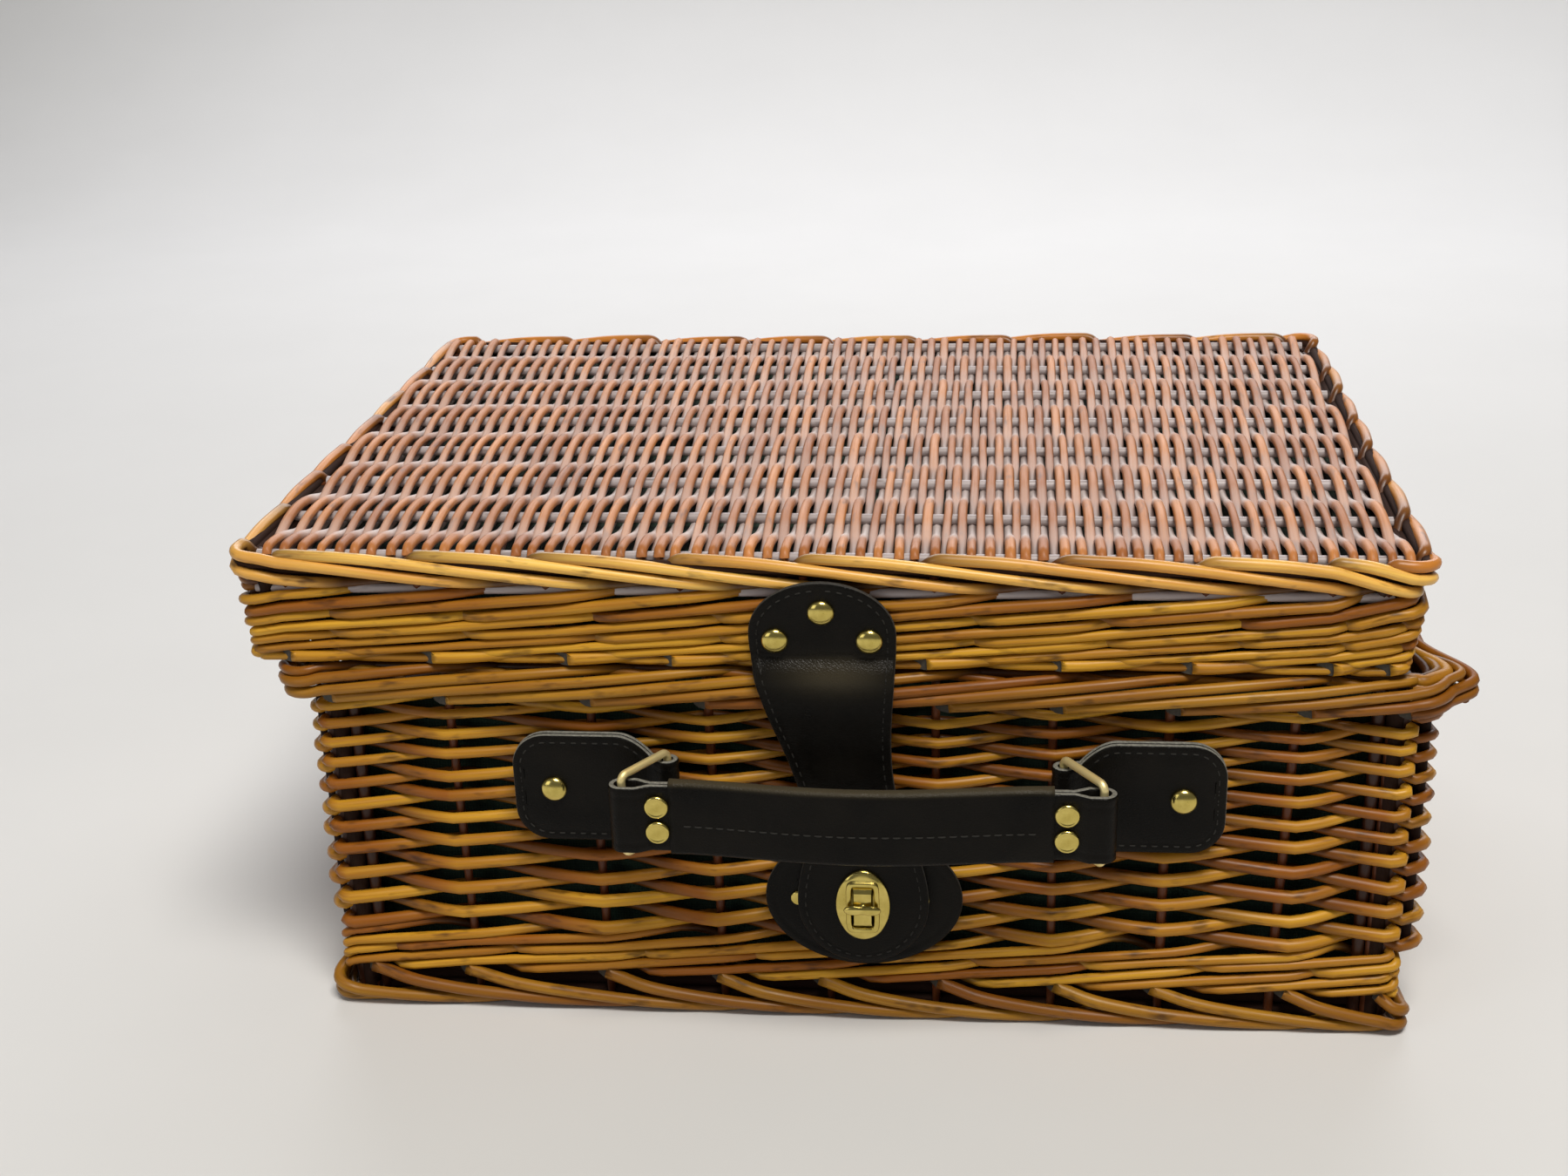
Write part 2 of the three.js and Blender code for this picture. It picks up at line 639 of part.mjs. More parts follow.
function strapFaces(rise) {
  const share = strapShare(rise);
  const back = strapPath.getPointAt(share);
  const tangent = strapPath.getTangentAt(share);
  const front = back.clone().addScaledVector(new THREE.Vector2(tangent.y, -tangent.x), LEATHER);
  return { back, front, tilt: Math.atan2(tangent.x, -tangent.y) };
}

function strapSection(rise) {
  const { back, front } = strapFaces(rise);
  const half = strapHalfWidth(rise);
  const centre = strapCentre(rise);
  return [
    new THREE.Vector3(centre - half, back.x, back.y),
    new THREE.Vector3(centre + half, back.x, back.y),
    new THREE.Vector3(centre + half, front.x, front.y),
    new THREE.Vector3(centre - half, front.x, front.y),
  ];
}

function strapGeometry() {
  const headSteps = 7;
  const legSteps = 16;
  const shoulder = strapRise - STRAP_HEAD_ROUND;
  const foot = bendRise + FLAP_GAP / 2;
  const head = Array.from({ length: headSteps }, (_, i) => (
    shoulder + STRAP_HEAD_ROUND * Math.cos(Math.PI / 2 * (i + 0.4) / (headSteps + 0.4))));
  const leg = Array.from({ length: legSteps + 1 }, (_, i) => shoulder + (foot - shoulder) * i / legSteps);
  return stripLoft([...head, ...leg].map(strapSection));
}

const strapRivetRise = strapRivetZ - LOCK_Z;
const strapRivets = [-1, 0, 1].map((side) => {
  const { front, tilt } = strapFaces(strapRivetRise - Math.abs(side) * STRAP_RIVET_DROP);
  return { x: STRAP_TOP_X - LOCK_X + side * STRAP_RIVET_SPREAD, y: front.x, z: front.y, tilt };
});
const strapHoles = strapRivets.map(({ x, y, z, tilt }) => rivetHole(-2 * LEATHER, 2 * LEATHER)
  .rotateX(tilt).translate(x, y, z));
add(strapOnLid, 'clasp_strap', subtract(strapGeometry(), ...strapHoles), materials.leather);
strapRivets.forEach(({ x, y, z, tilt }, i) => {
  const stud = add(strapOnLid, `strap_rivet_${i + 1}`,
    rivet(DOME_RADIUS, DOME_HEIGHT, LEATHER, true), materials.brass);
  stud.position.set(x, y, z);
  stud.rotation.x = tilt;
});

// Flap: the strap's free end, with the slotted brass plate over a wider cut in the leather
function flapShape() {
  const shape = new THREE.Shape();
  const top = bendRise - FLAP_GAP / 2;
  const sideSteps = 6;
  for (let i = 0; i <= sideSteps; i += 1) {
    const rise = top * (1 - i / sideSteps);
    shape[i === 0 ? 'moveTo' : 'lineTo'](strapHalfWidth(rise), rise);
  }
  shape.absellipse(0, 0, strapHalfWidth(0), endDrop, 0, -Math.PI, true);
  for (let i = sideSteps; i >= 0; i -= 1) {
    const rise = top * (1 - i / sideSteps);
    shape.lineTo(-strapHalfWidth(rise), rise);
  }
  return shape;
}
const leatherSlot = roundedRectangle(
  KNOB_LENGTH + 2 * LEATHER_SLOT_MARGIN, SLOT_HEIGHT + 2 * LEATHER_SLOT_MARGIN, KNOB_WIDTH / 2);
const metalSlot = roundedRectangle(SLOT_WIDTH, SLOT_HEIGHT, SLOT_CORNER);
add(strapOnLid, 'clasp_flap', subtract(
  frontPrism(flapShape(), strapFront, strapBack),
  frontPrism(leatherSlot, strapFront - CUT_PAST, strapBack + CUT_PAST, 2)), materials.leather);

const plateBack = strapFront - SEAT_GAP;
const dome = new THREE.SphereGeometry(1, 24, 12)
  .scale(LOCK_PLATE_WIDTH / 2, LOCK_PLATE_RISE, LOCK_PLATE_HEIGHT / 2);
const behindPlate = new THREE.BoxGeometry(LOCK_PLATE_WIDTH * 2, LOCK_PLATE_RISE * 2, LOCK_PLATE_HEIGHT * 2);
const frameRing = roundedRectangle(
  SLOT_WIDTH + 2 * SLOT_FRAME, SLOT_HEIGHT + 2 * SLOT_FRAME, SLOT_FRAME_CORNER);
add(strapOnLid, 'lock_slot_plate', subtract(
  unite(
    subtract(dome.translate(0, plateBack, 0), behindPlate.translate(0, plateBack + LOCK_PLATE_RISE, 0)),
    frontPrism(frameRing, slotFront, plateBack, 2)),
  frontPrism(metalSlot, slotFront - CUT_PAST, plateBack + CUT_PAST, 2)), materials.brass);

// Handle tabs: leather folded round the ring's wire, with a rounded riveted end
const wireSeat = WIRE_RADIUS + WIRE_CLEARANCE;
const loopRadius = wireSeat + LEATHER;
const tabWireY = frontY - SEAT_GAP - loopRadius;
const tabFaceY = loopRadius - 2 * LEATHER;

function tabProfile() {
  const shape = new THREE.Shape();
  shape.moveTo(TAB_LENGTH + CUT_PAST, loopRadius);
  shape.lineTo(0, loopRadius);
  shape.absarc(0, 0, loopRadius, Math.PI / 2, 1.5 * Math.PI);
  shape.lineTo(loopRadius * 2, tabFaceY);
  shape.lineTo(TAB_LENGTH + CUT_PAST, tabFaceY);
  shape.holes.push(new THREE.Path().absarc(0, 0, wireSeat, 0, 2 * Math.PI));
  return shape;
}

function tabOutline() {
  const neck = TAB_NECK_HEIGHT / 2;
  const half = TAB_HEIGHT / 2;
  const shoulder = TAB_NECK_LENGTH + TAB_SHOULDER_LENGTH;
  const bend = TAB_NECK_LENGTH + TAB_SHOULDER_LENGTH / 2;
  const round = TAB_LENGTH - TAB_CORNER;
  const shape = new THREE.Shape();
  shape.moveTo(-loopRadius - CUT_PAST, -neck);
  shape.lineTo(TAB_NECK_LENGTH, -neck);
  shape.quadraticCurveTo(bend, -half, shoulder, -half);
  shape.absarc(round, TAB_CORNER - half, TAB_CORNER, -Math.PI / 2, 0);
  shape.absarc(round, half - TAB_CORNER, TAB_CORNER, 0, Math.PI / 2);
  shape.lineTo(shoulder, half);
  shape.quadraticCurveTo(bend, half, TAB_NECK_LENGTH, neck);
  shape.lineTo(-loopRadius - CUT_PAST, neck);
  return shape;
}

function handleTab() {
  const folded = planPrism(tabProfile(), -TAB_HEIGHT, TAB_HEIGHT, 5);
  const outlined = intersect(folded, frontPrism(tabOutline(), -2 * loopRadius, 2 * loopRadius, 6));
  return subtract(outlined, rivetHole(-2 * loopRadius, 2 * loopRadius).translate(TAB_RIVET_REACH, 0, 0));
}

// Ring: a rectangular loop of wire, its near bar on the z axis and its far bar along -Y
function wireRing() {
  const leather = Math.max(BAND_HEIGHT, TAB_NECK_HEIGHT);
  const rise = leather / 2 + 2 * WIRE_CLEARANCE + WIRE_RADIUS + RING_SLACK;
  const corner = RING_CORNER;
  const corners = [
    [-corner, -rise + corner],
    [-corner, rise - corner],
    [-RING_LENGTH + corner, rise - corner],
    [-RING_LENGTH + corner, -rise + corner],
  ];
  const steps = 3;
  const sides = 8;
  const sections = corners.flatMap(([y, z], index) => Array.from({ length: steps + 1 }, (_, i) => {
    const angle = (index - 1) * Math.PI / 2 + (i / steps) * Math.PI / 2;
    const out = new THREE.Vector3(0, Math.cos(angle), Math.sin(angle));
    const centre = new THREE.Vector3(0, y, z).addScaledVector(out, corner);
    return Array.from({ length: sides }, (unused, k) => {
      const turn = 2 * Math.PI * k / sides;
      const spoke = new THREE.Vector3(Math.sin(turn), 0, 0).addScaledVector(out, Math.cos(turn));
      return centre.clone().addScaledVector(spoke, WIRE_RADIUS);
    });
  }));
  return closedSweep(sections);
}

// Handle band: folded round the far bars of both rings, and a sewn sleeve round its middle
const ringAngle = THREE.MathUtils.degToRad(RING_ANGLE_DEG);
const handleY = tabWireY - RING_LENGTH * Math.cos(ringAngle);
const wireSpan = TAB_SPAN / 2 + RING_LENGTH * Math.sin(ringAngle);
const loopInner = WIRE_RADIUS + WIRE_CLEARANCE + LOOP_PLAY;
const loopOuter = loopInner + LEATHER;
const sleeveHalf = wireSpan - HANDLE_RIVET_REACH - HANDLE_RIVET_RADIUS - SLEEVE_CLEARANCE;
const archY = (x) => -BAND_ARCH * (1 - Math.min(1, (x / sleeveHalf) ** 2)) ** 2;

function alongArch(reach, half) {
  const steps = 12;
  return Array.from({ length: steps + 1 }, (_, i) => {
    const x = reach * (2 * i / steps - 1);
    return new THREE.Vector2(x, archY(x) + half);
  });
}

function archedPrism(reach, half, rise) {
  const front = alongArch(reach, -half);
  const back = alongArch(reach, half).reverse();
  return planPrism(new THREE.Shape([...front, ...back]), -rise, rise);
}

function bandShape() {
  const loopSteps = 6;
  const loop = new THREE.EllipseCurve(wireSpan, 0, loopOuter, loopOuter, -Math.PI / 2, Math.PI / 2)
    .getPoints(loopSteps);
  const fold = sleeveHalf + SEAT_GAP;
  const taperFrom = wireSpan - LOOP_TRAVEL;
  const taper = [[taperFrom, loopOuter], [taperFrom - LOOP_TAPER, LEATHER], [fold, LEATHER]];
  const flip = (points, x, y) => points.map((p) => new THREE.Vector2(p.x * x, p.y * y));
  const neck = taper.map(([x, y]) => new THREE.Vector2(x, y));
  const frontRight = flip(neck, 1, -1).reverse();
  const backRight = neck;
  const frontLeft = flip(neck, -1, -1);
  const backLeft = flip(neck, -1, 1).reverse();
  const middleFront = alongArch(fold, -LEATHER / 2);
  const middleBack = alongArch(fold, LEATHER / 2).reverse();
  const shape = new THREE.Shape([
    ...middleFront, ...frontRight, ...loop, ...backRight,
    ...middleBack, ...backLeft, ...flip(loop, -1, 1).reverse(), ...frontLeft,
  ]);
  for (const side of [-1, 1]) {
    const slot = roundedRectangle(
      LOOP_TRAVEL + 2 * loopInner, 2 * loopInner, loopInner - END_FLAT / 2);
    const centre = new THREE.Vector2(side * (wireSpan - LOOP_TRAVEL / 2), 0);
    shape.holes.push(new THREE.Path(slot.getPoints(4).map((p) => p.add(centre))));
  }
  return shape;
}

const handle = new THREE.Group();
handle.position.set(HANDLE_X, handleY, HANDLE_Z);
base.add(handle);
const handleRivets = [-1, 1].flatMap((side) => [1, -1].map((level) => ({
  name: `handle_rivet_${side < 0 ? 'left' : 'right'}_${level > 0 ? 'upper' : 'lower'}`,
  x: side * (wireSpan - HANDLE_RIVET_REACH),
  z: level * HANDLE_RIVET_SPREAD / 2,
})));
const bandHoles = handleRivets.map(({ x, z }) => rivetHole(-2 * LEATHER, 2 * LEATHER).translate(x, 0, z));
add(handle, 'handle_band', subtract(
  planPrism(bandShape(), -BAND_HEIGHT / 2, BAND_HEIGHT / 2), ...bandHoles), materials.leather);
const sleeveInner = LEATHER / 2 + SEAT_GAP;
const sleeveRise = BAND_HEIGHT / 2 + SEAT_GAP;
add(handle, 'handle_sleeve', subtract(
  archedPrism(sleeveHalf, sleeveInner + SLEEVE_LEATHER, sleeveRise + SLEEVE_LEATHER),
  archedPrism(sleeveHalf + CUT_PAST, sleeveInner, sleeveRise)), materials.leather);
for (const { name, x, z } of handleRivets) {
  const stud = add(handle, name,
    rivet(HANDLE_RIVET_RADIUS, HANDLE_RIVET_HEIGHT, 2 * LEATHER, false), materials.brass);
  stud.position.set(x, -LEATHER, z);
}

for (const [side, sign] of [['left', -1], ['right', 1]]) {
  const fitting = new THREE.Group();
  fitting.position.set(HANDLE_X + sign * TAB_SPAN / 2, tabWireY, HANDLE_Z);
  base.add(fitting);
  const leather = handleTab().rotateY(sign > 0 ? 0 : Math.PI);
  add(fitting, `handle_tab_${side}`, leather, materials.leather);
  const stud = add(fitting, `tab_rivet_${side}`,
    rivet(DOME_RADIUS, DOME_HEIGHT, 2 * LEATHER, true), materials.brass);
  stud.position.set(sign * TAB_RIVET_REACH, tabFaceY, 0);
  const ring = add(fitting, `ring_${side}`, wireRing(), materials.brass);
  ring.rotation.z = sign * ringAngle;
}

// Leather hinges: a leaf on the base and a leaf on the lid, meeting at the seam
const lidBackAt = (z) => lidFootDepth / 2 + lidFlare(z) + SEAT_GAP;
const leafBack = backY + SEAT_GAP;
const leafBulge = seamBackY + SEAT_GAP;
const leafLow = seamZ - HINGE_BASE_LENGTH;
const leafHigh = seamZ + HINGE_LID_LENGTH;
const lidSlope = Math.atan2(LID_FLARE, lidTop - lidLow);

function leafShape(line) {
  const outside = line.map(([y, z]) => [y + LEATHER, z]).reverse();
  return new THREE.Shape([...line, ...outside].map(([y, z]) => new THREE.Vector2(y, z)));
}
const baseLeaf = leafShape([
  [leafBack, leafLow], [leafBack, rimLow - RIM_OVERHANG],
  [leafBulge, rimLow], [leafBulge, seamZ - FLAP_GAP / 2],
]);
const lidLeaf = leafShape([
  [leafBulge, seamZ + FLAP_GAP / 2], [lidBackAt(lidWaleLow), lidWaleLow],
  [lidBackAt(leafHigh), leafHigh],
]);
const baseRivetZ = leafLow + HINGE_RIVET_INSET;
const lidRivetZ = leafHigh - HINGE_RIVET_INSET;
for (const [side, sign] of [['left', -1], ['right', 1]]) {
  const x = sign * HINGE_SPREAD / 2;
  const hang = (parent, name, line, y, z, tilt) => {
    const hole = rivetHole(-2 * LEATHER, 2 * LEATHER).rotateX(tilt).translate(0, y, z);
    const leaf = add(parent, `hinge_leaf_${name}_${side}`,
      subtract(sidePrism(line, HINGE_WIDTH), hole), materials.leather);
    leaf.position.x = x - parent.position.x;
    const stud = add(parent, `hinge_rivet_${name}_${side}`,
      rivet(DOME_RADIUS, DOME_HEIGHT, LEATHER, true).rotateZ(Math.PI), materials.brass);
    stud.position.set(x - parent.position.x, y, z);
    stud.rotation.x = tilt;
  };
  hang(base, 'base', baseLeaf, leafBack + LEATHER, baseRivetZ, 0);
  hang(lid, 'lid', lidLeaf, lidBackAt(lidRivetZ) + LEATHER, lidRivetZ, -lidSlope);
}

// The part's origin is the middle of its underside
const bounds = new THREE.Box3().setFromObject(hamper);
const middle = bounds.getCenter(new THREE.Vector3());
hamper.position.set(-middle.x, -middle.y, -bounds.min.z);

export default hamper;
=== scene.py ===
"""Picnic hamper: woven willow, sewn leather, brass and cloth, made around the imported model."""
import json
import math

import bmesh
import bpy
import numpy as np
from mathutils import Matrix, Vector


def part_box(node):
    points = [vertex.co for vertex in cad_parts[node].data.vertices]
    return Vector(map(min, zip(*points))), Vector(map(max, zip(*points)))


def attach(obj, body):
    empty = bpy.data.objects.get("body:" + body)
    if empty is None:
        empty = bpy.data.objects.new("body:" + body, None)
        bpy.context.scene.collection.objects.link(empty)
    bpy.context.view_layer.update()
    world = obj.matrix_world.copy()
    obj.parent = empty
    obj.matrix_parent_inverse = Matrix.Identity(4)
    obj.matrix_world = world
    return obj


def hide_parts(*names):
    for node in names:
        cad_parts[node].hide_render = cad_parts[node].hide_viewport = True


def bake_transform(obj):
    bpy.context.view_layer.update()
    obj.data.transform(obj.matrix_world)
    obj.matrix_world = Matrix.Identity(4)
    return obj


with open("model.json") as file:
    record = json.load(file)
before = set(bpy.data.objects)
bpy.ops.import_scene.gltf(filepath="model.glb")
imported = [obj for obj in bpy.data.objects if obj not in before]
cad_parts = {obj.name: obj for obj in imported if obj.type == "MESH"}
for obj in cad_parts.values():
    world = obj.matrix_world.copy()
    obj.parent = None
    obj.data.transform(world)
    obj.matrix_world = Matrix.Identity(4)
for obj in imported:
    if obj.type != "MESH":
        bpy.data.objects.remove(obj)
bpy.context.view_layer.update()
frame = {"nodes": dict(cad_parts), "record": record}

# Lengths below are millimetres, and a mesh is scaled to metres when it is made
MM = 0.001
SIDES = {"left": -1, "right": 1}
rng = np.random.default_rng(11)

# Stakes of the walls. The front ones stand where they do on the real hamper
CORNER_RADIUS = 5
TIGHT_CORNER = 1.5
STAKES_LONG = 10
STAKES_SHORT = 8
STAKES = 2 * (STAKES_LONG + STAKES_SHORT)
CORNER_LEAD = 7
BASE_FRONT_STAKES = (-207, -159.5, -99.3, -51.9, -6.1, 39.6, 85.4, 129, 180, 217)
LID_FRONT_STAKES = (-213, -163, -110, -61, -12, 38, 87, 138, 186, 207)
STAKE_RADIUS = 1.9
STAKE_INSET = 6.8
STAKE_HUG = 0.85
STAKE_SIZES = (0.92, 1.05)
STAKE_TONES = (0.1, 0.9)
STAKE_SHADE = 0.85
STAKE_NOISE = 0.03
CORNERS = (1, 3, 5, 7)
CORNER_POST_RADIUS = 2.6
CORNER_POST_INSET = 7.6
CORNER_POST_SPACE = 13
CORNER_FILL_RADIUS = 3.7
POST_STEPS = 7
POST_TONE = 0.3
POST_SHADE = 0.1
SIDEWAYS = (1, 0, 0)

# Rods, and the siding with one rod a row
BAY_STEPS = 8
ROD_SIDES = 10
CUT_SLANT = 1.8
SKIN_LENGTH = 40000
SEAM_STAKE = 23
SIDING_ROWS = 21
SIDING_GRADING = 0.2
SIDING_RADIUS_LOW = 2.8
SIDING_RADIUS_HIGH = 2.05
SIDING_SAG = 1.7
SIDING_WAIST = 0.14
SIDING_ROUNDNESS = 0.6
SIDING_TONES = (0.05, 0.95)
SIDING_TONE_NOISE = 0.14
SIDING_REACH_NOISE = 0.25
SIDING_HEIGHT_NOISE = 0.35
ROD_BAYS = 12
ROD_BUTT = 1.06
ROD_TAPER = 0.14
CORNER_BULGES = ((10, 8.0), (35, 3.6))
BULGE_WIDTH = 0.6
BULGE_POSTS = (0.35, 0.9)
BULGE_POST_RADIUS = STAKE_RADIUS + 0.8

# A siding rod over two bays, from the front of one stake to the front of the next but one:
# it rises to the right, passes behind, and comes out lower and darker. The darker parts are painted shade,
# and the lowered tone on them is partly stain, partly painted shade.
RANDING_PLACES = (0, 0.5, 0.9, 1.15, 1.5, 2)
RANDING_RISE = (-1, 0, 0.95, 0.7, -0.3, -1)
RANDING_SHADE = (1, 0.95, 0.4, 0.12, 0.42, 0.95)
RANDING_STAIN_AND_SHADE = (0.1, 0, 0.2, 0.4, 0.55, 0.3)

# Wales: bands of three rods, each band with its pitch and the size of its rods
WALE_BANDS = ((9.6, 1.95), (9.6, 1.95))
WALE_FOOT = 16.2
LID_WALE_BANDS = ((8.0, 1.75), (9.2, 1.95), (10.4, 2.2))
LID_WALE_FOOT = 163.4
WALE_SPAN = 3
WALE_OUT = 0.5
WALE_IN = 1.0
WALE_TURN = 0.4
WALE_SWING = STAKE_HUG * (STAKE_RADIUS + 2.4)
WALE_CLIMB = 1.5
WALE_TONE = 0.58
WALE_TONE_NOISE = 0.34
WALE_HEIGHT_NOISE = 0.4
WALE_SIZE_NOISE = 0.06
WALE_START_SHADE = 0.55

# Borders, with the rim's ears at the front corners. A core rod has an inset and a height or a drop
BORDER_SIZES = (0.93, 1.06)
BORDER_TAPER = 0.2
BORDER_POINT = 0.7
BORDER_TUCK = 1.5
BORDER_TUCK_DEPTH = 6
BORDER_TONE_SPREAD = 0.32
BORDER_PLACE_NOISE = 0.05
BORDER_HEIGHT_NOISE = 0.25
BORDER_INSET_NOISE = 0.2
HOOP_NOISE = 0.3
FOOT_RADIUS = 2.6
FOOT_CORE = ((8.5, 4.2), (9.5, 9.5), (9.0, 14.5))
FOOT_CORE_RADIUS = 2.8
RIM_RADIUS = 2.2
EAR_STAKE = 10.05
EAR_WIDTH = 0.38
EAR_REACH = 14.5
LEFT_EAR_STAKE = 35.2
LEFT_EAR_REACH = 6.5
INNER_EAR = 0.6
EAR_SPAN = 0.9
EAR_STEPS = 40
EAR_CORE = ((4.4, 2.8), (4.0, 6.2), (4.2, 9.4), (5.4, 12.0))
EAR_CORE_SHARE = 0.86
EAR_CORE_RADIUS = 2.7
BLUNT_SWELL = 3.0
LID_STUB_RADIUS = 2.5
LID_STUB_CORE_RADIUS = 2.3
LID_UNDER_RADIUS = 1.9
LID_BORDER_RADIUS = 2.35
LID_CORE = ((4.6, 5.6), (6.6, 8.2), (9.6, 8.5), (9.0, 12.5))
LID_CORE_RADIUS = 2.4
HIGHLIGHT_HOOP_INSET = 6.6
HIGHLIGHT_HOOP_DROP = 17.2
HIGHLIGHT_HOOP_RADIUS = 2.0
LONG_STEPS = 60

# Lid: its wall leans out, and its left side runs out towards the front
LID_FLARE = 7.5
LID_SKEW = 6.5
LID_SKEW_LOW = 4.5
SKEW_POWER = 8
LID_TOP_ROW_SHARE = 0.9

# Woven panels
LID_STICKS = 6
LID_STICK_RADIUS = 2.2
LID_WEAVERS = 126
LID_WEAVER_RADIUS = 1.95
LID_WEAVE_DROP = 2.8
LID_PANEL_SPARE_LOW = (8.0, 2.5, 0)
LID_PANEL_SPARE_HIGH = (3.0, 2.5, 0)
FLOOR_STICKS = 6
FLOOR_STICK_RADIUS = 1.6
FLOOR_WEAVERS = 84
FLOOR_WEAVER_RADIUS = 2.3
STICK_SIZES = (0.92, 1.06)
STICK_TONES = (0.3, 1.0)
SWAY_PLACES = 9
SWAY_NOISE = 0.5
WEAVER_SIZES = (0.86, 1.12)
WEAVER_PLACE_NOISE = 0.2
WEAVER_LEAN_NOISE = 0.35
WEAVER_SIDES = 8
WEAVE_SINK = 0.7
WEAVE_FLATNESS = 0.8
# Painted shade where a lid weaver dips under a stick, and a painted sheen on its slopes
WEAVE_DARK = -0.95
WEAVE_DARK_SPAN = 1.2
PAINTED_SHEEN_TOP = 0.93
PAINTED_SHEEN_SPAN = 0.75
PAINTED_SHEEN_FAR_SIDE = 0.5
WRAP_DEGREES = 140
WRAP_STEPS = 6

# Cloth lining. It stands out from its plan by two values, at the flat and at the hem
LINING_ROUND = 3.0
LINING_POINTS = 240
LINING_WALL_ROWS = 26
LINING_FLOOR_ROWS = 10
LINING_FIRST_ROW = 0.02
LINING_THICKNESS = 0.7
LINING_SPARE = (1.6, 1.6, 0)
HEM_RADIUS = 1.1
FOLD_WAVES = ((34, 0.5), (57, 0.35), (83, 0.25))
FOLD_LEAN = 2.2
FOLD_EDGE = 0.2
BASE_LINING_OUT = (0.0, 2.8)
BASE_LINING_RISE = 0.6
LID_LINING_OUT = (6.5, 3.2)
LID_LINING_DROP = 1.3

# Leather, with its edges as steps of inset and depth
LEATHER = 2.6
SEAT_GAP = 0.3
EDGE_ROUND = 0.8
FRONT_STEPS = ((0.0, 0.95), (0.22, 0.4), (EDGE_ROUND, 0.0), (3.2, 0.0), (4.0, 0.24), (4.8, 0.0))
BACK_STEPS = FRONT_STEPS[:3]
MIDDLE_COLUMNS = 6
STITCH_INSET = 3.2
STITCH_LENGTH = 3.0
STITCH_PITCH = 4.3
STITCH_RADIUS = 0.34
STITCH_RISE = (-0.35, 0.05, 0.15, 0.05, -0.35)
STITCH_DEPTH = 0.2
STITCH_SIDES = 6

# Clasp strap
STRAP_RIVETS = (1, 2, 3)
STRAP_HEAD_WIDTH = 57
STRAP_HEAD_ROUND = 23
STRAP_WAIST_WIDTH = 38
STRAP_WAIST_Z = 102
STRAP_END_WIDTH = 53
STRAP_CREASE_DROP = 7.8
STRAP_LIFT = 0.6
STRAP_TOP_LAP = 3.1
STRAP_STEPS = 100
STRAP_END_STEPS = 14
STRAP_BACK_STEPS = 16
RIM_STAND = 6.0
CREASE_DEPTH = 0.6
CREASE_WIDTH = 1.2
CREASE_WAVE = 0.6
CREASE_WAVE_LENGTH = 6
BULGE_HEIGHT = 1.0
BULGE_DROP = 9.0
BULGE_SPREAD = 5
STRAP_HIGHLIGHT = 0.75
STRAP_HIGHLIGHT_SHIFT = (4, 2)
STRAP_HIGHLIGHT_SIZE = (17, 6.5)
SLOT_CUT = (12.0, 12.0, 20.5)
SLOT_CUT_ROUND = 0.12
BEND_REACH = 7.0

# Handle, its tabs, the lock patch and the hinges
TAB_LENGTH = 63
TAB_CORNER = 14
TAB_NECK = 28.4
TAB_NECK_LENGTH = 6
TAB_SHOULDER_LENGTH = 15
TAB_SEAM_STOP = TAB_LENGTH - TAB_NECK_LENGTH - 4
TAB_LOOP = 4.6
LEAF_STEPS = 19
RISE_STEPS = 5
LOOP_STEPS = 17
HANDLE_ARCH = 6
HANDLE_LOOP = 5.1
HANDLE_LOOP_LENGTH = 6
HANDLE_LOOP_TAPER = 5
BAND_STEPS = 70
SLEEVE_OVERLAP = 5
SLEEVE_SEAM_SHARE = 0.58
SLEEVE_STEPS = 60
SLEEVE_WALL = 1.4
SLEEVE_ROUND = 2.4
SLEEVE_INNER_ROUND = 1.2
SLEEVE_SWELL = 0.08
SLEEVE_FLARE = 0.1
SLEEVE_FLARE_LENGTH = 5
SLEEVE_HIGHLIGHT = 2.2
PATCH_STEPS = 41
PATCH_POWER = 1.9
HINGE_ROUND = 8
HINGE_BEND = 9

# Brass
DOME_RADIUS = 5.3
DOME_HEIGHT = 3.2
DOME_LIP = 0.5
HANDLE_RIVET_RADIUS = 4.8
HANDLE_RIVET_HEIGHT = 1.7
PATCH_RIVET_RADIUS = 3.2
PATCH_RIVET_HEIGHT = 1.2
PATCH_RIVET_SHIFT = {"left": 2.0, "right": -5.0}
RIVET_SIDES = 32
WIRE_RADIUS = 1.65
WIRE_SIDES = 16
RING_ANGLE = math.radians(34)
RING_CORNER = 2.6
PLATE_SLOT = np.array((4.7, 9.5))
PLATE_FRAME = 2.0
PLATE_LIP = 0.85
PLATE_SIDES = 96
KNOB_THICKNESS = 2.6
KNOB_PIN = 2.0
KNOB_WAIST = 0.78
KNOB_END_POWER = 7
KNOB_END = 0.02
KNOB_STEPS = 41
KNOB_SIDES = 24
POST_PLAY = 0.7

# Stage, in metres, and camera, with its place in millimetres
FLOOR_REACH = 12.0
WALL_BACK = 2.2
WALL_RISE = 8.0
COVE_RADIUS = 0.8
COVE_STEPS = 12
CAMERA_PLACE = (61.8, -853.0, 478.7)
CAMERA_YAW = math.radians(-6.525)
CAMERA_PITCH = math.radians(21.889)
CAMERA_ROLL = math.radians(-1.891)
CAMERA_LENS = 45.97
CAMERA_SENSOR = 36


def node_box(name):
    low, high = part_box(name)
    return np.array(low) / MM, np.array(high) / MM


def node_centre(name):
    low, high = node_box(name)
    return (low + high) / 2


base_low, base_high = node_box("side_weave")
foot_low, _ = node_box("foot_border")
rim_low, rim_high = node_box("rim_border")
lid_rim_low, _ = node_box("lid_rim_border")
lid_wale_low, lid_wale_high = node_box("lid_wale")
_, lid_top_high = node_box("lid_top_border")
lid_rise = lid_top_high[2] - lid_rim_low[2]


# Small numeric helpers

def smooth(share):
    share = np.clip(share, 0, 1)
    return share * share * (3 - 2 * share)


def ease(share):
    return (1 - np.cos(np.pi * np.clip(share, 0, 1))) / 2


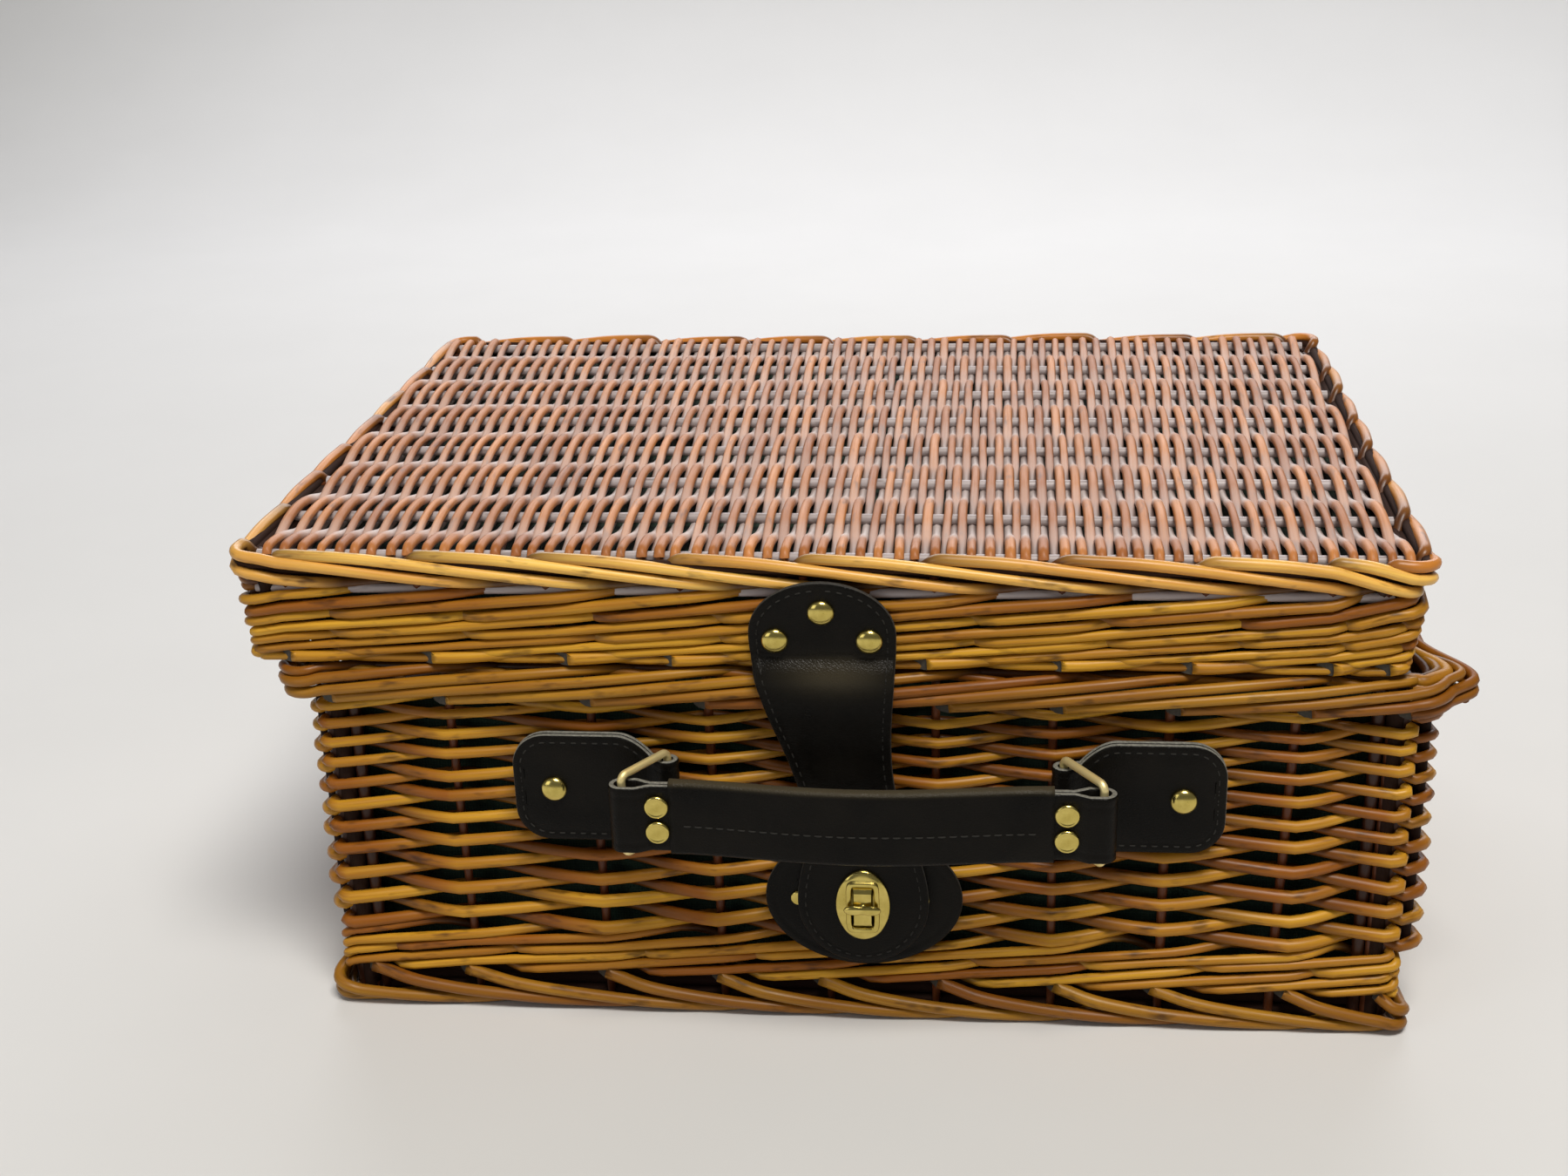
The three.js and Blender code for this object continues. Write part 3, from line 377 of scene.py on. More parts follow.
def round_off(share):
    """A quarter circle's height, from one at no share to nothing at a full share."""
    share = np.clip(share, 0, 1)
    return np.sqrt(np.maximum(1 - share * share, 0))


def unit(vectors):
    return vectors / np.maximum(np.linalg.norm(vectors, axis=-1, keepdims=True), 1e-9)


def spline(points, steps):
    """Points on a smooth curve through the given ones, with the same number of steps between each two."""
    points = np.asarray(points, float)
    padded = np.vstack([2 * points[0] - points[1], points, 2 * points[-1] - points[-2]])
    share = np.linspace(0, 1, steps, endpoint=False)[:, None]
    parts = []
    for i in range(len(points) - 1):
        a, b, c, d = padded[i:i + 4]
        cubic = 1.5 * (b - c) + (d - a) / 2
        parts.append(b + share * ((c - a) / 2 + share * (a - 2.5 * b + 2 * c - d / 2 + share * cubic)))
    return np.vstack(parts + [points[-1:]])


def arc_lengths(points):
    return np.concatenate([[0], np.cumsum(np.linalg.norm(np.diff(points, axis=0), axis=1))])


def columns(*values):
    """Points from their values along each axis. A single value serves all the points."""
    return np.column_stack(np.broadcast_arrays(*values))


def between(rows, marks, spots):
    """Rows of values, each at its mark, read off at spots."""
    return np.stack([np.interp(spots, marks, column) for column in np.asarray(rows).T], axis=1)


def arc_points(centre, radius, first, last, steps):
    turn = np.radians(np.linspace(first, last, steps))
    return columns(centre[0] + radius * np.cos(turn), centre[1] + radius * np.sin(turn))


def corner_arcs(half_wide, half_tall, radius, steps):
    """The four rounded corners of an oblong, anticlockwise from the upper right."""
    wide = half_wide - radius
    tall = half_tall - radius
    spots = ((wide, tall), (-wide, tall), (-wide, -tall), (wide, -tall))
    return [arc_points(spot, radius, 90 * i, 90 * i + 90, steps) for i, spot in enumerate(spots)]


def full_turn(sides):
    return 2 * np.pi * np.arange(sides) / sides


def ring_faces(rings, count, closed=True):
    """Faces between rings of points. A closed row of rings comes back to its first one."""
    index = np.arange(rings * count).reshape(rings, count)
    faces = []
    for i in range(rings if closed else rings - 1):
        a = index[i]
        b = index[(i + 1) % rings]
        faces.extend(zip(a, np.roll(a, -1), np.roll(b, -1), b))
    return faces


def capped_faces(rings, count, first=0):
    """Faces of a tube through rings of points, with its two ends last."""
    last = (rings - 1) * count
    ends = [tuple(range(count))[::-1], tuple(range(last, last + count))]
    return [tuple(first + i for i in face) for face in ring_faces(rings, count, closed=False) + ends]


# Materials

class Look:
    """A node material, with short calls for the nodes that it is made of."""

    def __init__(self, name, **values):
        self.material = bpy.data.materials.new(name)
        self.material.use_nodes = True
        self.tree = self.material.node_tree
        self.shader = self.tree.nodes["Principled BSDF"]
        for socket, value in values.items():
            self.shader.inputs[socket.replace("_", " ")].default_value = value

    def node(self, kind, links=(), **values):
        made = self.tree.nodes.new(kind)
        for key, value in values.items():
            setattr(made, key, value)
        for socket, source in dict(links).items():
            if isinstance(source, bpy.types.NodeSocket):
                self.tree.links.new(source, made.inputs[socket])
            else:
                made.inputs[socket].default_value = source
        return made

    def coordinates(self):
        return self.node("ShaderNodeTexCoord").outputs["Object"]

    def attribute(self, name, output="Vector"):
        return self.node("ShaderNodeAttribute", attribute_name=name).outputs[output]

    def stretched(self, vector, scale):
        return self.node("ShaderNodeMapping", {"Vector": vector, "Scale": scale}).outputs["Vector"]

    def noise(self, vector, scale=1.0, detail=3.0):
        links = {"Vector": vector, "Scale": scale, "Detail": detail, "Roughness": 0.55}
        return self.node("ShaderNodeTexNoise", links).outputs["Fac"]

    def wave(self, vector, scale, distortion=0.0, axis="X"):
        links = {"Vector": vector, "Scale": scale, "Distortion": distortion}
        return self.node("ShaderNodeTexWave", links, bands_direction=axis).outputs["Fac"]

    def spread(self, value, low, high, to_low=0.0, to_high=1.0):
        links = {"Value": value, "From Min": low, "From Max": high, "To Min": to_low, "To Max": to_high}
        return self.node("ShaderNodeMapRange", links).outputs["Result"]

    def mix(self, share, first, second):
        return self.node("ShaderNodeMix", {0: share, 6: first, 7: second}, data_type="RGBA").outputs[2]

    def combine(self, operation, first, second):
        return self.node("ShaderNodeMath", {0: first, 1: second}, operation=operation).outputs[0]

    def link(self, source, socket):
        self.tree.links.new(source, self.shader.inputs[socket])

    def paint(self, share, first, second):
        self.link(self.mix(share, first, second), "Base Color")

    def bump(self, height, strength, distance):
        links = {"Height": height, "Strength": strength, "Distance": distance}
        self.link(self.node("ShaderNodeBump", links).outputs["Normal"], "Normal")


def colour(red, green, blue):
    return (red, green, blue, 1.0)


def willow_look(name, pale, deep, marks_and_shade, painted_sheen_colour=None, roughness=0.42, coat=0.25):
    """Varnished willow: a tone for each rod, streaks along it, dark marks and a painted shade where it
    tucks in. Given a pale sheen colour, it paints a sheen where the points' third value says so."""
    look = Look(name, Roughness=roughness, Specular_IOR_Level=0.23, Coat_Weight=coat,
                Coat_Roughness=0.8 * roughness)
    tone, shade, painted_sheen = look.node("ShaderNodeSeparateXYZ", {0: look.attribute("rod")}).outputs
    skin = look.attribute("skin")
    streaks = look.noise(look.stretched(skin, (26, 900, 900)), detail=4.0)
    marks = look.noise(look.stretched(skin, (70, 260, 260)), detail=2.0)
    bands = look.noise(look.stretched(skin, (14, 30, 30)), detail=2.0)
    tone = look.combine("ADD", tone, look.spread(bands, 0.3, 0.7, -0.25, 0.25))
    wood = look.mix(look.spread(tone, 0.0, 1.0), deep, pale)
    wood = look.mix(look.spread(streaks, 0.35, 0.72, 0.0, 0.55), wood, deep)
    wood = look.mix(look.spread(marks, 0.59, 0.76, 0.0, 0.75), wood, marks_and_shade)
    # Painted shade where the rod tucks in, in the same dark colour as the marks
    wood = look.mix(look.spread(shade, 0.8, 0.1, 0.0, 0.92), wood, marks_and_shade)
    # Painted sheen: a pale lavender colour on the slopes of the lid's strokes
    if painted_sheen_colour:
        sheen_mask = look.combine("MULTIPLY", painted_sheen, look.spread(bands, 0.3, 0.6, 0.6, 1.0))
        wood = look.mix(sheen_mask, wood, painted_sheen_colour)
    look.link(wood, "Base Color")
    look.link(look.spread(streaks, 0.3, 0.75, roughness - 0.08, roughness + 0.12), "Roughness")
    look.bump(streaks, 0.3, 0.0005)
    return look.material


def fibre_look(name, dark, light, roughness=0.75, scale=1100, span=(0.3, 0.7), relief=(0.4, 0.0003)):
    """A cut end of willow or a raw edge of leather."""
    look = Look(name, Roughness=roughness)
    fibres = look.noise(look.coordinates(), scale, 4.0)
    look.paint(look.spread(fibres, *span), dark, light)
    look.bump(fibres, *relief)
    return look.material


def leather_look(name, dark, light, highlight_colour, roughness):
    """Leather with a grain and a painted highlight, paler where each point's value says so."""
    look = Look(name, Specular_IOR_Level=0.1)
    place = look.coordinates()
    pores = look.noise(place, 1400)
    creases = look.node("ShaderNodeTexVoronoi", {"Vector": place, "Scale": 950.0}, feature="DISTANCE_TO_EDGE")
    wear = look.noise(place, 38, 4.0)
    skin = look.mix(look.spread(wear, 0.35, 0.75), dark, light)
    look.paint(look.attribute("painted_highlight", "Fac"), skin, highlight_colour)
    look.link(look.spread(wear, 0.3, 0.75, roughness - 0.07, roughness + 0.12), "Roughness")
    grain = look.spread(creases.outputs["Distance"], 0.0, 0.25)
    look.bump(look.combine("ADD", grain, look.spread(pores, 0.3, 0.7, 0.0, 0.5)), 0.28, 0.0003)
    return look.material


def thread_look(name, dark, light):
    look = Look(name, Roughness=0.7)
    twist = look.wave(look.coordinates(), 900.0, 2.0)
    look.paint(twist, dark, light)
    look.bump(twist, 0.4, 0.0002)
    return look.material


def brass_look(name, shine, dull, pale, deep, metal=1.0):
    look = Look(name, Metallic=metal)
    place = look.coordinates()
    haze = look.noise(place, 160, 4.0)
    scuffs = look.noise(look.stretched(place, (300, 300, 2400)))
    look.paint(look.spread(haze, 0.35, 0.75), pale, deep)
    look.link(look.spread(haze, 0.3, 0.75, shine, dull), "Roughness")
    look.bump(scuffs, 0.03, 0.0001)
    return look.material


def lining_look(name, dark, light, thread):
    look = Look(name, Roughness=0.9, Sheen_Weight=0.08, Sheen_Roughness=0.5)
    place = look.coordinates()
    along, across, up = (look.wave(place, 260.0, axis=axis) for axis in "XYZ")
    cloth = look.combine("ADD", look.combine("ADD", along, across), up)
    slub = look.noise(place, 150)
    green = look.mix(look.spread(slub, 0.3, 0.75), dark, light)
    look.paint(look.spread(cloth, 0.6, 2.4, 0.0, 0.7), green, thread)
    look.bump(cloth, 0.35, 0.0004)
    return look.material


def floor_look(name, dark, light):
    look = Look(name, Roughness=0.85)
    look.paint(look.noise(look.coordinates(), 6.0), dark, light)
    return look.material


WILLOW = willow_look("willow_golden", colour(0.68, 0.36, 0.024), colour(0.27, 0.085, 0.005),
                     colour(0.028, 0.007, 0.001), coat=0.15)
# The border's very pale colour is partly a painted sheen
BORDER_WILLOW = willow_look("willow_border", colour(0.95, 0.60, 0.13), colour(0.55, 0.20, 0.028),
                            colour(0.05, 0.013, 0.003), roughness=0.36, coat=0.3)
STAKE_WILLOW = willow_look("willow_stake", colour(0.16, 0.045, 0.012), colour(0.09, 0.024, 0.007),
                           colour(0.03, 0.008, 0.003))
# The core's near-black colour is painted shade in the hollows behind the borders and in the gaps
SHADED_CORE_WILLOW = willow_look("willow_core_painted_shade", colour(0.07, 0.025, 0.008), colour(0.04, 0.012, 0.004),
                          colour(0.015, 0.005, 0.002), roughness=0.85, coat=0.0)
# The lid's pale lavender colour is a painted sheen on the slopes of its strokes
LID_WILLOW = willow_look("willow_lid", colour(0.62, 0.25, 0.072), colour(0.34, 0.116, 0.03),
                         colour(0.16, 0.085, 0.06), painted_sheen_colour=colour(0.63, 0.555, 0.53), roughness=0.48, coat=0.2)
# The sticks' pale grey is a painted sheen of the light on them
SHEEN_STICK_WILLOW = willow_look("willow_stick_painted_sheen", colour(0.50, 0.45, 0.45), colour(0.34, 0.29, 0.28),
                           colour(0.12, 0.085, 0.075), roughness=0.44, coat=0.3)
CUT_WILLOW = fibre_look("willow_cut_end", colour(0.016, 0.013, 0.009), colour(0.085, 0.074, 0.056),
                        0.8, 900, (0.0, 1.0), (0.5, 0.0004))
# The leather's palest colour is a painted highlight
LEATHER_DARK = leather_look("leather_dark", colour(0.003, 0.0026, 0.002), colour(0.0075, 0.0062, 0.0045),
                            colour(0.055, 0.045, 0.027), 0.32)
RAW_EDGE = fibre_look("leather_raw_edge", colour(0.10, 0.098, 0.08), colour(0.24, 0.235, 0.2))
DYED_EDGE = fibre_look("leather_dyed_edge", colour(0.012, 0.011, 0.009), colour(0.04, 0.037, 0.03))
THREAD = thread_look("stitch_thread", colour(0.005, 0.004, 0.0025), colour(0.014, 0.012, 0.007))
BRASS = brass_look("polished_brass", 0.16, 0.3, colour(0.71, 0.57, 0.17), colour(0.50, 0.39, 0.09))
BRASS_WIRE = brass_look("brass_wire", 0.42, 0.55, colour(0.95, 0.80, 0.40), colour(0.85, 0.68, 0.28), 0.7)
LINING = lining_look("lining_cloth", colour(0.004, 0.016, 0.008), colour(0.009, 0.03, 0.015),
                     colour(0.014, 0.042, 0.022))
PALE_FLOOR = floor_look("pale_floor", colour(0.66, 0.66, 0.65), colour(0.70, 0.70, 0.69))


# Pieces

def piece(name, mesh, nodes=(), body=None, matrix=None):
    """A mesh in the scene, the nodes that it replaces and the body that it rides on."""
    made = bpy.data.objects.new(name, mesh)
    bpy.context.scene.collection.objects.link(made)
    if matrix:
        made.matrix_world = matrix
    if nodes:
        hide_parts(*nodes)
    if body:
        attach(made, body)
    return made


def mesh_from(name, points, faces, materials, kinds=None, merge=None):
    """A smooth-shaded mesh from points in millimetres, with a material index for each face.
    Points closer than merge are joined."""
    mesh = bpy.data.meshes.new(name)
    points = np.asarray(points) * MM
    mesh.from_pydata(points.tolist(), [], [tuple(int(i) for i in face) for face in faces])
    for material in materials:
        mesh.materials.append(material)
    if kinds is not None:
        mesh.polygons.foreach_set("material_index", np.asarray(kinds, np.int32))
    if merge:
        work = bmesh.new()
        work.from_mesh(mesh)
        bmesh.ops.remove_doubles(work, verts=work.verts, dist=merge * MM)
        bmesh.ops.recalc_face_normals(work, faces=work.faces)
        work.to_mesh(mesh)
        work.free()
    mesh.shade_smooth()
    mesh.update()
    return mesh


class Rods:
    """Rods gathered into one mesh. Each point keeps the rod's tone, its painted shade and its painted sheen,
    and its place on the rod laid straight."""

    def __init__(self):
        self.parts = []
        self.faces = []
        self.kinds = []
        self.count = 0

    def add(self, path, radius, tone=0.5, shade=1.0, painted_sheen=0.0, closed=False, cut=False, sides=ROD_SIDES,
            level=(0, 0, 1)):
        """A round rod along a path, each look with one value or one a point. A cut rod starts on a slant."""
        path = np.asarray(path, float)
        count = len(path)
        values = [np.broadcast_to(np.asarray(value, float), count) for value in (radius, tone, shade, painted_sheen)]
        radius = values[0]
        look = np.stack(values[1:], axis=1)
        tangent = np.roll(path, -1, 0) - np.roll(path, 1, 0) if closed else np.gradient(path, axis=0)
        tangent = unit(tangent)
        across = unit(np.cross(tangent, np.asarray(level, float)))
        over = np.cross(across, tangent)
        turn = full_turn(sides)
        right, up = np.cos(turn), np.sin(turn)
        spokes = right[None, :, None] * across[:, None] + up[None, :, None] * over[:, None]
        ring = path[:, None] + radius[:, None, None] * spokes
        if cut:
            ring[0] += CUT_SLANT * radius[0] * right[:, None] * tangent[0]
        along = rng.uniform(0, SKIN_LENGTH) + arc_lengths(path)
        along = np.broadcast_to(along[:, None], (count, sides))
        skin = np.stack([along, radius[:, None] * right, radius[:, None] * up], axis=2)
        # The rings run clockwise about the path, so their faces are turned over
        faces = np.array(ring_faces(count, sides, closed))[:, [0, 3, 2, 1]]
        self.faces.extend(self.count + faces)
        self.kinds.extend([0] * len(faces))
        self.take(ring.reshape(-1, 3), np.repeat(look, sides, axis=0), skin.reshape(-1, 3))
        if not closed:
            self.cap(ring[0], look[0], skin[0], cut)
            self.cap(ring[-1][::-1], look[-1], skin[-1][::-1], False)

    def cap(self, ring, look, skin, cut):
        self.faces.append(tuple(range(self.count, self.count + len(ring))))
        self.kinds.append(1 if cut else 0)
        self.take(ring, np.repeat(look[None], len(ring), axis=0), skin)

    def take(self, points, looks, skins):
        self.parts.append((points, looks, skins))
        self.count += len(points)

    def piece(self, name, material, nodes=(), body="base", slot="willow"):
        points, looks, skins = map(np.concatenate, zip(*self.parts))
        mesh = mesh_from(name, points, self.faces, (material, CUT_WILLOW), self.kinds)
        for key, values in (("rod", looks), ("skin", skins * MM)):
            data = mesh.attributes.new(key, "FLOAT_VECTOR", "POINT").data
            data.foreach_set("vector", np.asarray(values, np.float32).ravel())
        return piece(name, mesh, nodes, body)


# Plan of a willow wall

def no_shift(places):
    return np.zeros_like(np.asarray(places, float))


def lid_lean(z):
    """How far the lid's wall leans out at a height."""
    return LID_FLARE * (np.asarray(z) - lid_rim_low[2]) / lid_rise


def lid_skew(z):
    """How far the lid's left side runs out at its front, more at its foot."""
    return LID_SKEW + LID_SKEW_LOW * (lid_top_high[2] - np.asarray(z)) / lid_rise


class Plan:
    """A rounded rectangle, walked anticlockwise from the left end of the front."""

    def __init__(self, low, high, radius=CORNER_RADIUS, front=None, lean=no_shift, skew=no_shift):
        self.centre = (low[:2] + high[:2]) / 2
        self.radius = radius
        self.lean = lean
        self.skew = skew
        self.flat = (high[:2] - low[:2]) / 2 - radius
        wide, deep = 2 * self.flat
        arc = math.pi * radius / 2
        self.starts = np.concatenate([[0], np.cumsum([wide, arc, deep, arc] * 2)])
        self.total = self.starts[-1]
        stakes = []
        for side, count in ((0, STAKES_LONG), (2, STAKES_SHORT), (4, STAKES_LONG), (6, STAKES_SHORT)):
            first = self.starts[side] + CORNER_LEAD
            stakes.extend(np.linspace(first, self.starts[side + 1] - CORNER_LEAD, count))
        if front:
            stakes[:STAKES_LONG] = np.array(front) - self.centre[0] + self.flat[0]
        self.marks = np.array(stakes + [stakes[0] + self.total])

    def at(self, arc, inset, z=0.0):
        """Points at lengths along the outline, inset from it. Inner corners stay tight.
        The left side runs out towards the front by the skew at a height."""
        arc = np.mod(arc, self.total)
        side = np.clip(np.searchsorted(self.starts, arc, side="right") - 1, 0, 7)
        along = arc - self.starts[side]
        turn = (side // 2) * np.pi / 2
        ahead = np.stack([np.cos(turn), np.sin(turn)], axis=-1)
        out = np.stack([np.sin(turn), -np.cos(turn)], axis=-1)
        straight = side % 2 == 0
        odd = (side // 2) % 2 == 1
        radius = np.maximum(self.radius - inset, TIGHT_CORNER)
        shorter = self.radius - inset - radius
        half = np.where(odd, self.flat[1], self.flat[0])
        reach = np.where(odd, self.flat[0], self.flat[1]) + shorter
        bend = np.where(straight, 0, along / self.radius)
        place = np.where(straight, along / half - 1, 1) * (half + shorter)
        normal = out * np.cos(bend)[..., None] + ahead * np.sin(bend)[..., None]
        core = self.centre + ahead * place[..., None] + out * reach[..., None]
        spot = core + normal * radius[..., None]
        share = np.clip((self.centre - spot) / (self.flat + self.radius), -1, 1)
        left = np.maximum(share[..., 0], 0) ** SKEW_POWER
        spot[..., 0] -= self.skew(z) * left * (1 + share[..., 1]) / 2
        return spot

    def walk(self, stakes, inset, heights):
        """Points on the leaning wall at counts of stakes round it, at insets and heights."""
        values = (np.asarray(value, float) for value in (stakes, inset, heights))
        stakes, inset, heights = np.broadcast_arrays(*values)
        laps = np.floor(stakes / STAKES)
        arc = np.interp(stakes - laps * STAKES, np.arange(STAKES + 1), self.marks)
        return np.column_stack([self.at(arc, inset - self.lean(heights), heights), heights])


lid_top_row_lean = lid_lean(lid_wale_low[2] + LID_TOP_ROW_SHARE * (lid_wale_high[2] - lid_wale_low[2]))
base_plan = Plan(base_low, base_high, front=BASE_FRONT_STAKES)
lid_plan = Plan(lid_wale_low + lid_top_row_lean, lid_wale_high - lid_top_row_lean, front=LID_FRONT_STAKES,
                lean=lid_lean, skew=lid_skew)


def stake_noise(stakes, size):
    """A smooth random value round the wall, with one value for each stake."""
    values = rng.normal(0, size, STAKES)
    values = np.append(values, values[0])
    return np.interp(np.mod(stakes, STAKES), np.arange(STAKES + 1), values)


def lap_counts():
    """Counts of stakes for one lap, from a seam at the back."""
    return SEAM_STAKE + np.arange(STAKES * BAY_STEPS) / BAY_STEPS


def near_stake(stakes, stake, width):
    """A bell over counts of stakes, of height one."""
    return np.exp(-((np.mod(stakes, STAKES) - stake) / width) ** 2)


# Willow of the walls

def corner_bulge(stakes):
    """A rod that comes out from behind a front corner bulges at the side wall's first stake."""
    return sum(reach * near_stake(stakes, stake, BULGE_WIDTH) for stake, reach in CORNER_BULGES)


def randing(rods, plan, low, high):
    """One rod a row, in front of and behind every other stake. A new rod starts behind a stake."""
    stakes = lap_counts()
    for row in range(SIDING_ROWS):
        share = (row + 0.5) / SIDING_ROWS
        grading = SIDING_GRADING * (share * (1 - share) - 0.5 / SIDING_ROWS)
        place = np.mod(stakes + row, 2)
        straight = 2 * np.abs(place - 1) - 1
        swing = straight + SIDING_ROUNDNESS * (np.cos(np.pi * place) - straight)
        first = 2 * rng.integers(0, ROD_BAYS // 2) + 1 + row
        rod = np.floor(np.mod(stakes - first, STAKES) / ROD_BAYS).astype(int)
        taper = ROD_BUTT - ROD_TAPER * np.mod(stakes - first, ROD_BAYS) / ROD_BAYS
        radius = taper * (SIDING_RADIUS_LOW + (SIDING_RADIUS_HIGH - SIDING_RADIUS_LOW) * share)
        tone = rng.uniform(*SIDING_TONES, STAKES // ROD_BAYS)[rod] + stake_noise(stakes, SIDING_TONE_NOISE)
        # Lower tone behind the stake and on the left arm: partly stain, partly painted shade
        tone = tone - np.interp(place, RANDING_PLACES, RANDING_STAIN_AND_SHADE)
        reach = STAKE_HUG * (STAKE_RADIUS + radius) * swing + stake_noise(stakes, SIDING_REACH_NOISE)
        reach += corner_bulge(stakes) * np.sqrt(np.maximum(swing, 0))
        height = low + (high - low) * (share + grading) + stake_noise(stakes, SIDING_HEIGHT_NOISE)
        height += SIDING_SAG * np.interp(place, RANDING_PLACES, RANDING_RISE)
        # Painted shade behind the stake and on the left arm
        shade = np.interp(place, RANDING_PLACES, RANDING_SHADE)
        waist = 1 - SIDING_WAIST * (1 - swing) / 2
        rods.add(plan.walk(stakes, STAKE_INSET - reach, height), radius * waist, tone, shade, closed=True)


def waling(rods, plan, low, bands):
    """Three rods a row in turn, each in front of two stakes and behind one, climbing to the right."""
    stakes = lap_counts()
    foot = low
    for row, (pitch, size) in enumerate(bands):
        middle = foot + pitch / 2
        foot += pitch
        for start in range(WALE_SPAN):
            place = np.mod(stakes - start - row, WALE_SPAN)
            going_out = np.clip(place / WALE_OUT, 0, 1)
            going_in = np.clip((WALE_SPAN - place) / WALE_IN, 0, 1)
            swing = -np.cos(np.pi * np.minimum(going_out, going_in))
            back = np.mod(place + WALE_TURN, WALE_SPAN) / (2 * WALE_TURN)
            edge = 0.5 - WALE_TURN / WALE_SPAN
            climb = np.where(back < 1, edge * (1 - 2 * smooth(back)), place / WALE_SPAN - 0.5)
            height = middle + WALE_CLIMB * pitch * climb + stake_noise(stakes, WALE_HEIGHT_NOISE)
            radius = size * (1 + stake_noise(stakes, WALE_SIZE_NOISE))
            first = np.floor((stakes - start - row) / WALE_SPAN) * WALE_SPAN
            tone = WALE_TONE + stake_noise(first, WALE_TONE_NOISE)
            # Painted shade behind the stakes and at the rod's start
            shade = (1 + swing) / 2 * (WALE_START_SHADE + (1 - WALE_START_SHADE) * smooth(place))
            path = plan.walk(stakes, STAKE_INSET - WALE_SWING * swing, height)
            rods.add(path, radius, tone, shade, closed=True)


def rim_ear(stakes):
    """The rim stands out just behind its front corners, most on the right."""
    right = EAR_REACH * near_stake(stakes, EAR_STAKE, EAR_WIDTH)
    return right + LEFT_EAR_REACH * near_stake(stakes, LEFT_EAR_STAKE, EAR_WIDTH)


def inner_ear(stakes):
    return INNER_EAR * rim_ear(stakes)


def border(rods, plan, stations, size, cut=False, steps=6, swell=no_shift, tone=0.7, deepening=0.0, lit=1.0):
    """One rod a stake through stations of (stakes along, inset, height). Away from the front a rod is
    deeper in tone by the given amount. A rod takes painted shade where it tucks in deep, and lit below one
    paints shade all along it."""
    for stake in range(STAKES):
        route = np.array(stations, float)
        route[:, 0] += rng.normal(0, BORDER_PLACE_NOISE)
        route[1:-1, 2] += rng.normal(0, BORDER_HEIGHT_NOISE)
        route[1:-1, 1] += rng.normal(0, BORDER_INSET_NOISE)
        line = spline(route, steps)
        share = np.linspace(0, 1, len(line))
        radius = size * rng.uniform(*BORDER_SIZES) * (ROD_BUTT - BORDER_TAPER * share)
        blunt = cut and swell(np.float64(stake)) < BLUNT_SWELL
        if not blunt:
            radius[0] *= BORDER_POINT
        radius[-1] *= BORDER_POINT
        # Painted shade where the rod tucks in deep
        hidden = smooth((line[:, 1] - BORDER_TUCK) / BORDER_TUCK_DEPTH)
        stakes = stake + line[:, 0]
        path = plan.walk(stakes, line[:, 1] - swell(stakes), line[:, 2])
        own_tone = tone + rng.uniform(-BORDER_TONE_SPREAD, BORDER_TONE_SPREAD)
        if STAKES_LONG - 2 < stake < STAKES - 2:
            own_tone -= deepening
        rods.add(path, radius, own_tone, lit * (1 - hidden), cut=blunt)


def hoop(rods, plan, inset, z, size, tone, shade):
    """One rod laid round the inside of a wall."""
    stakes = lap_counts()
    height = z + stake_noise(stakes, HOOP_NOISE)
    rods.add(plan.walk(stakes, inset, height), size, tone, shade, closed=True)


def post(rods, path, radius):
    """A dark upright rod that closes a gap from behind. Its dark colour is painted shade."""
    rods.add(path, radius, POST_TONE, POST_SHADE, level=SIDEWAYS)


def corner_posts(rods, plan, heights, shifts, radius):
    for corner in CORNERS:
        middle = (plan.starts[corner] + plan.starts[corner + 1]) / 2
        for shift in shifts:
            arc = np.full(len(heights), middle + shift)
            spot = plan.at(arc, CORNER_POST_INSET - plan.lean(heights), heights)
            post(rods, np.column_stack([spot, heights]), radius)


base_post_heights = np.linspace(foot_low[2] + 3, rim_high[2] - 5, POST_STEPS)
lid_post_heights = np.linspace(lid_rim_low[2] + 2, lid_top_high[2] - 6, POST_STEPS)


def make_stakes(body, plan, heights):
    rods = Rods()
    for stake in range(STAKES):
        count = stake + np.linspace(*rng.normal(0, STAKE_NOISE, 2), len(heights))
        path = plan.walk(count, STAKE_INSET, heights)
        radius = STAKE_RADIUS * rng.uniform(*STAKE_SIZES)
        rods.add(path, radius, rng.uniform(*STAKE_TONES), STAKE_SHADE, level=SIDEWAYS)
    shifts = (-CORNER_POST_SPACE, 0, CORNER_POST_SPACE)
    corner_posts(rods, plan, heights, shifts, CORNER_POST_RADIUS)
    rods.piece(f"{body}_stakes", STAKE_WILLOW, (), body)


def make_corner_fill():
    """Posts between the corner posts and behind the bulges, and the rods inside the rim's right corner."""
    shifts = (-CORNER_POST_SPACE / 2, CORNER_POST_SPACE / 2)
    posts = Rods()
    corner_posts(posts, base_plan, base_post_heights, shifts, CORNER_FILL_RADIUS)
    heights = np.linspace(base_low[2], base_high[2], POST_STEPS)
    for stake, reach in CORNER_BULGES:
        for share in BULGE_POSTS:
            post(posts, base_plan.walk(stake, STAKE_INSET - share * reach, heights), BULGE_POST_RADIUS)
    posts.piece("base_corner_posts", SHADED_CORE_WILLOW)
    posts = Rods()
    corner_posts(posts, lid_plan, lid_post_heights, shifts, CORNER_FILL_RADIUS)
    posts.piece("lid_corner_posts", SHADED_CORE_WILLOW, (), "lid")
    ear = Rods()
    stakes = EAR_STAKE + np.linspace(-EAR_SPAN, EAR_SPAN, EAR_STEPS)
    for inset, rise in EAR_CORE:
        path = base_plan.walk(stakes, inset - EAR_CORE_SHARE * rim_ear(stakes), rim_low[2] + rise)
        ear.add(path, EAR_CORE_RADIUS, tone=0.45, shade=0.75)
    ear.piece("rim_ear_rods", WILLOW)


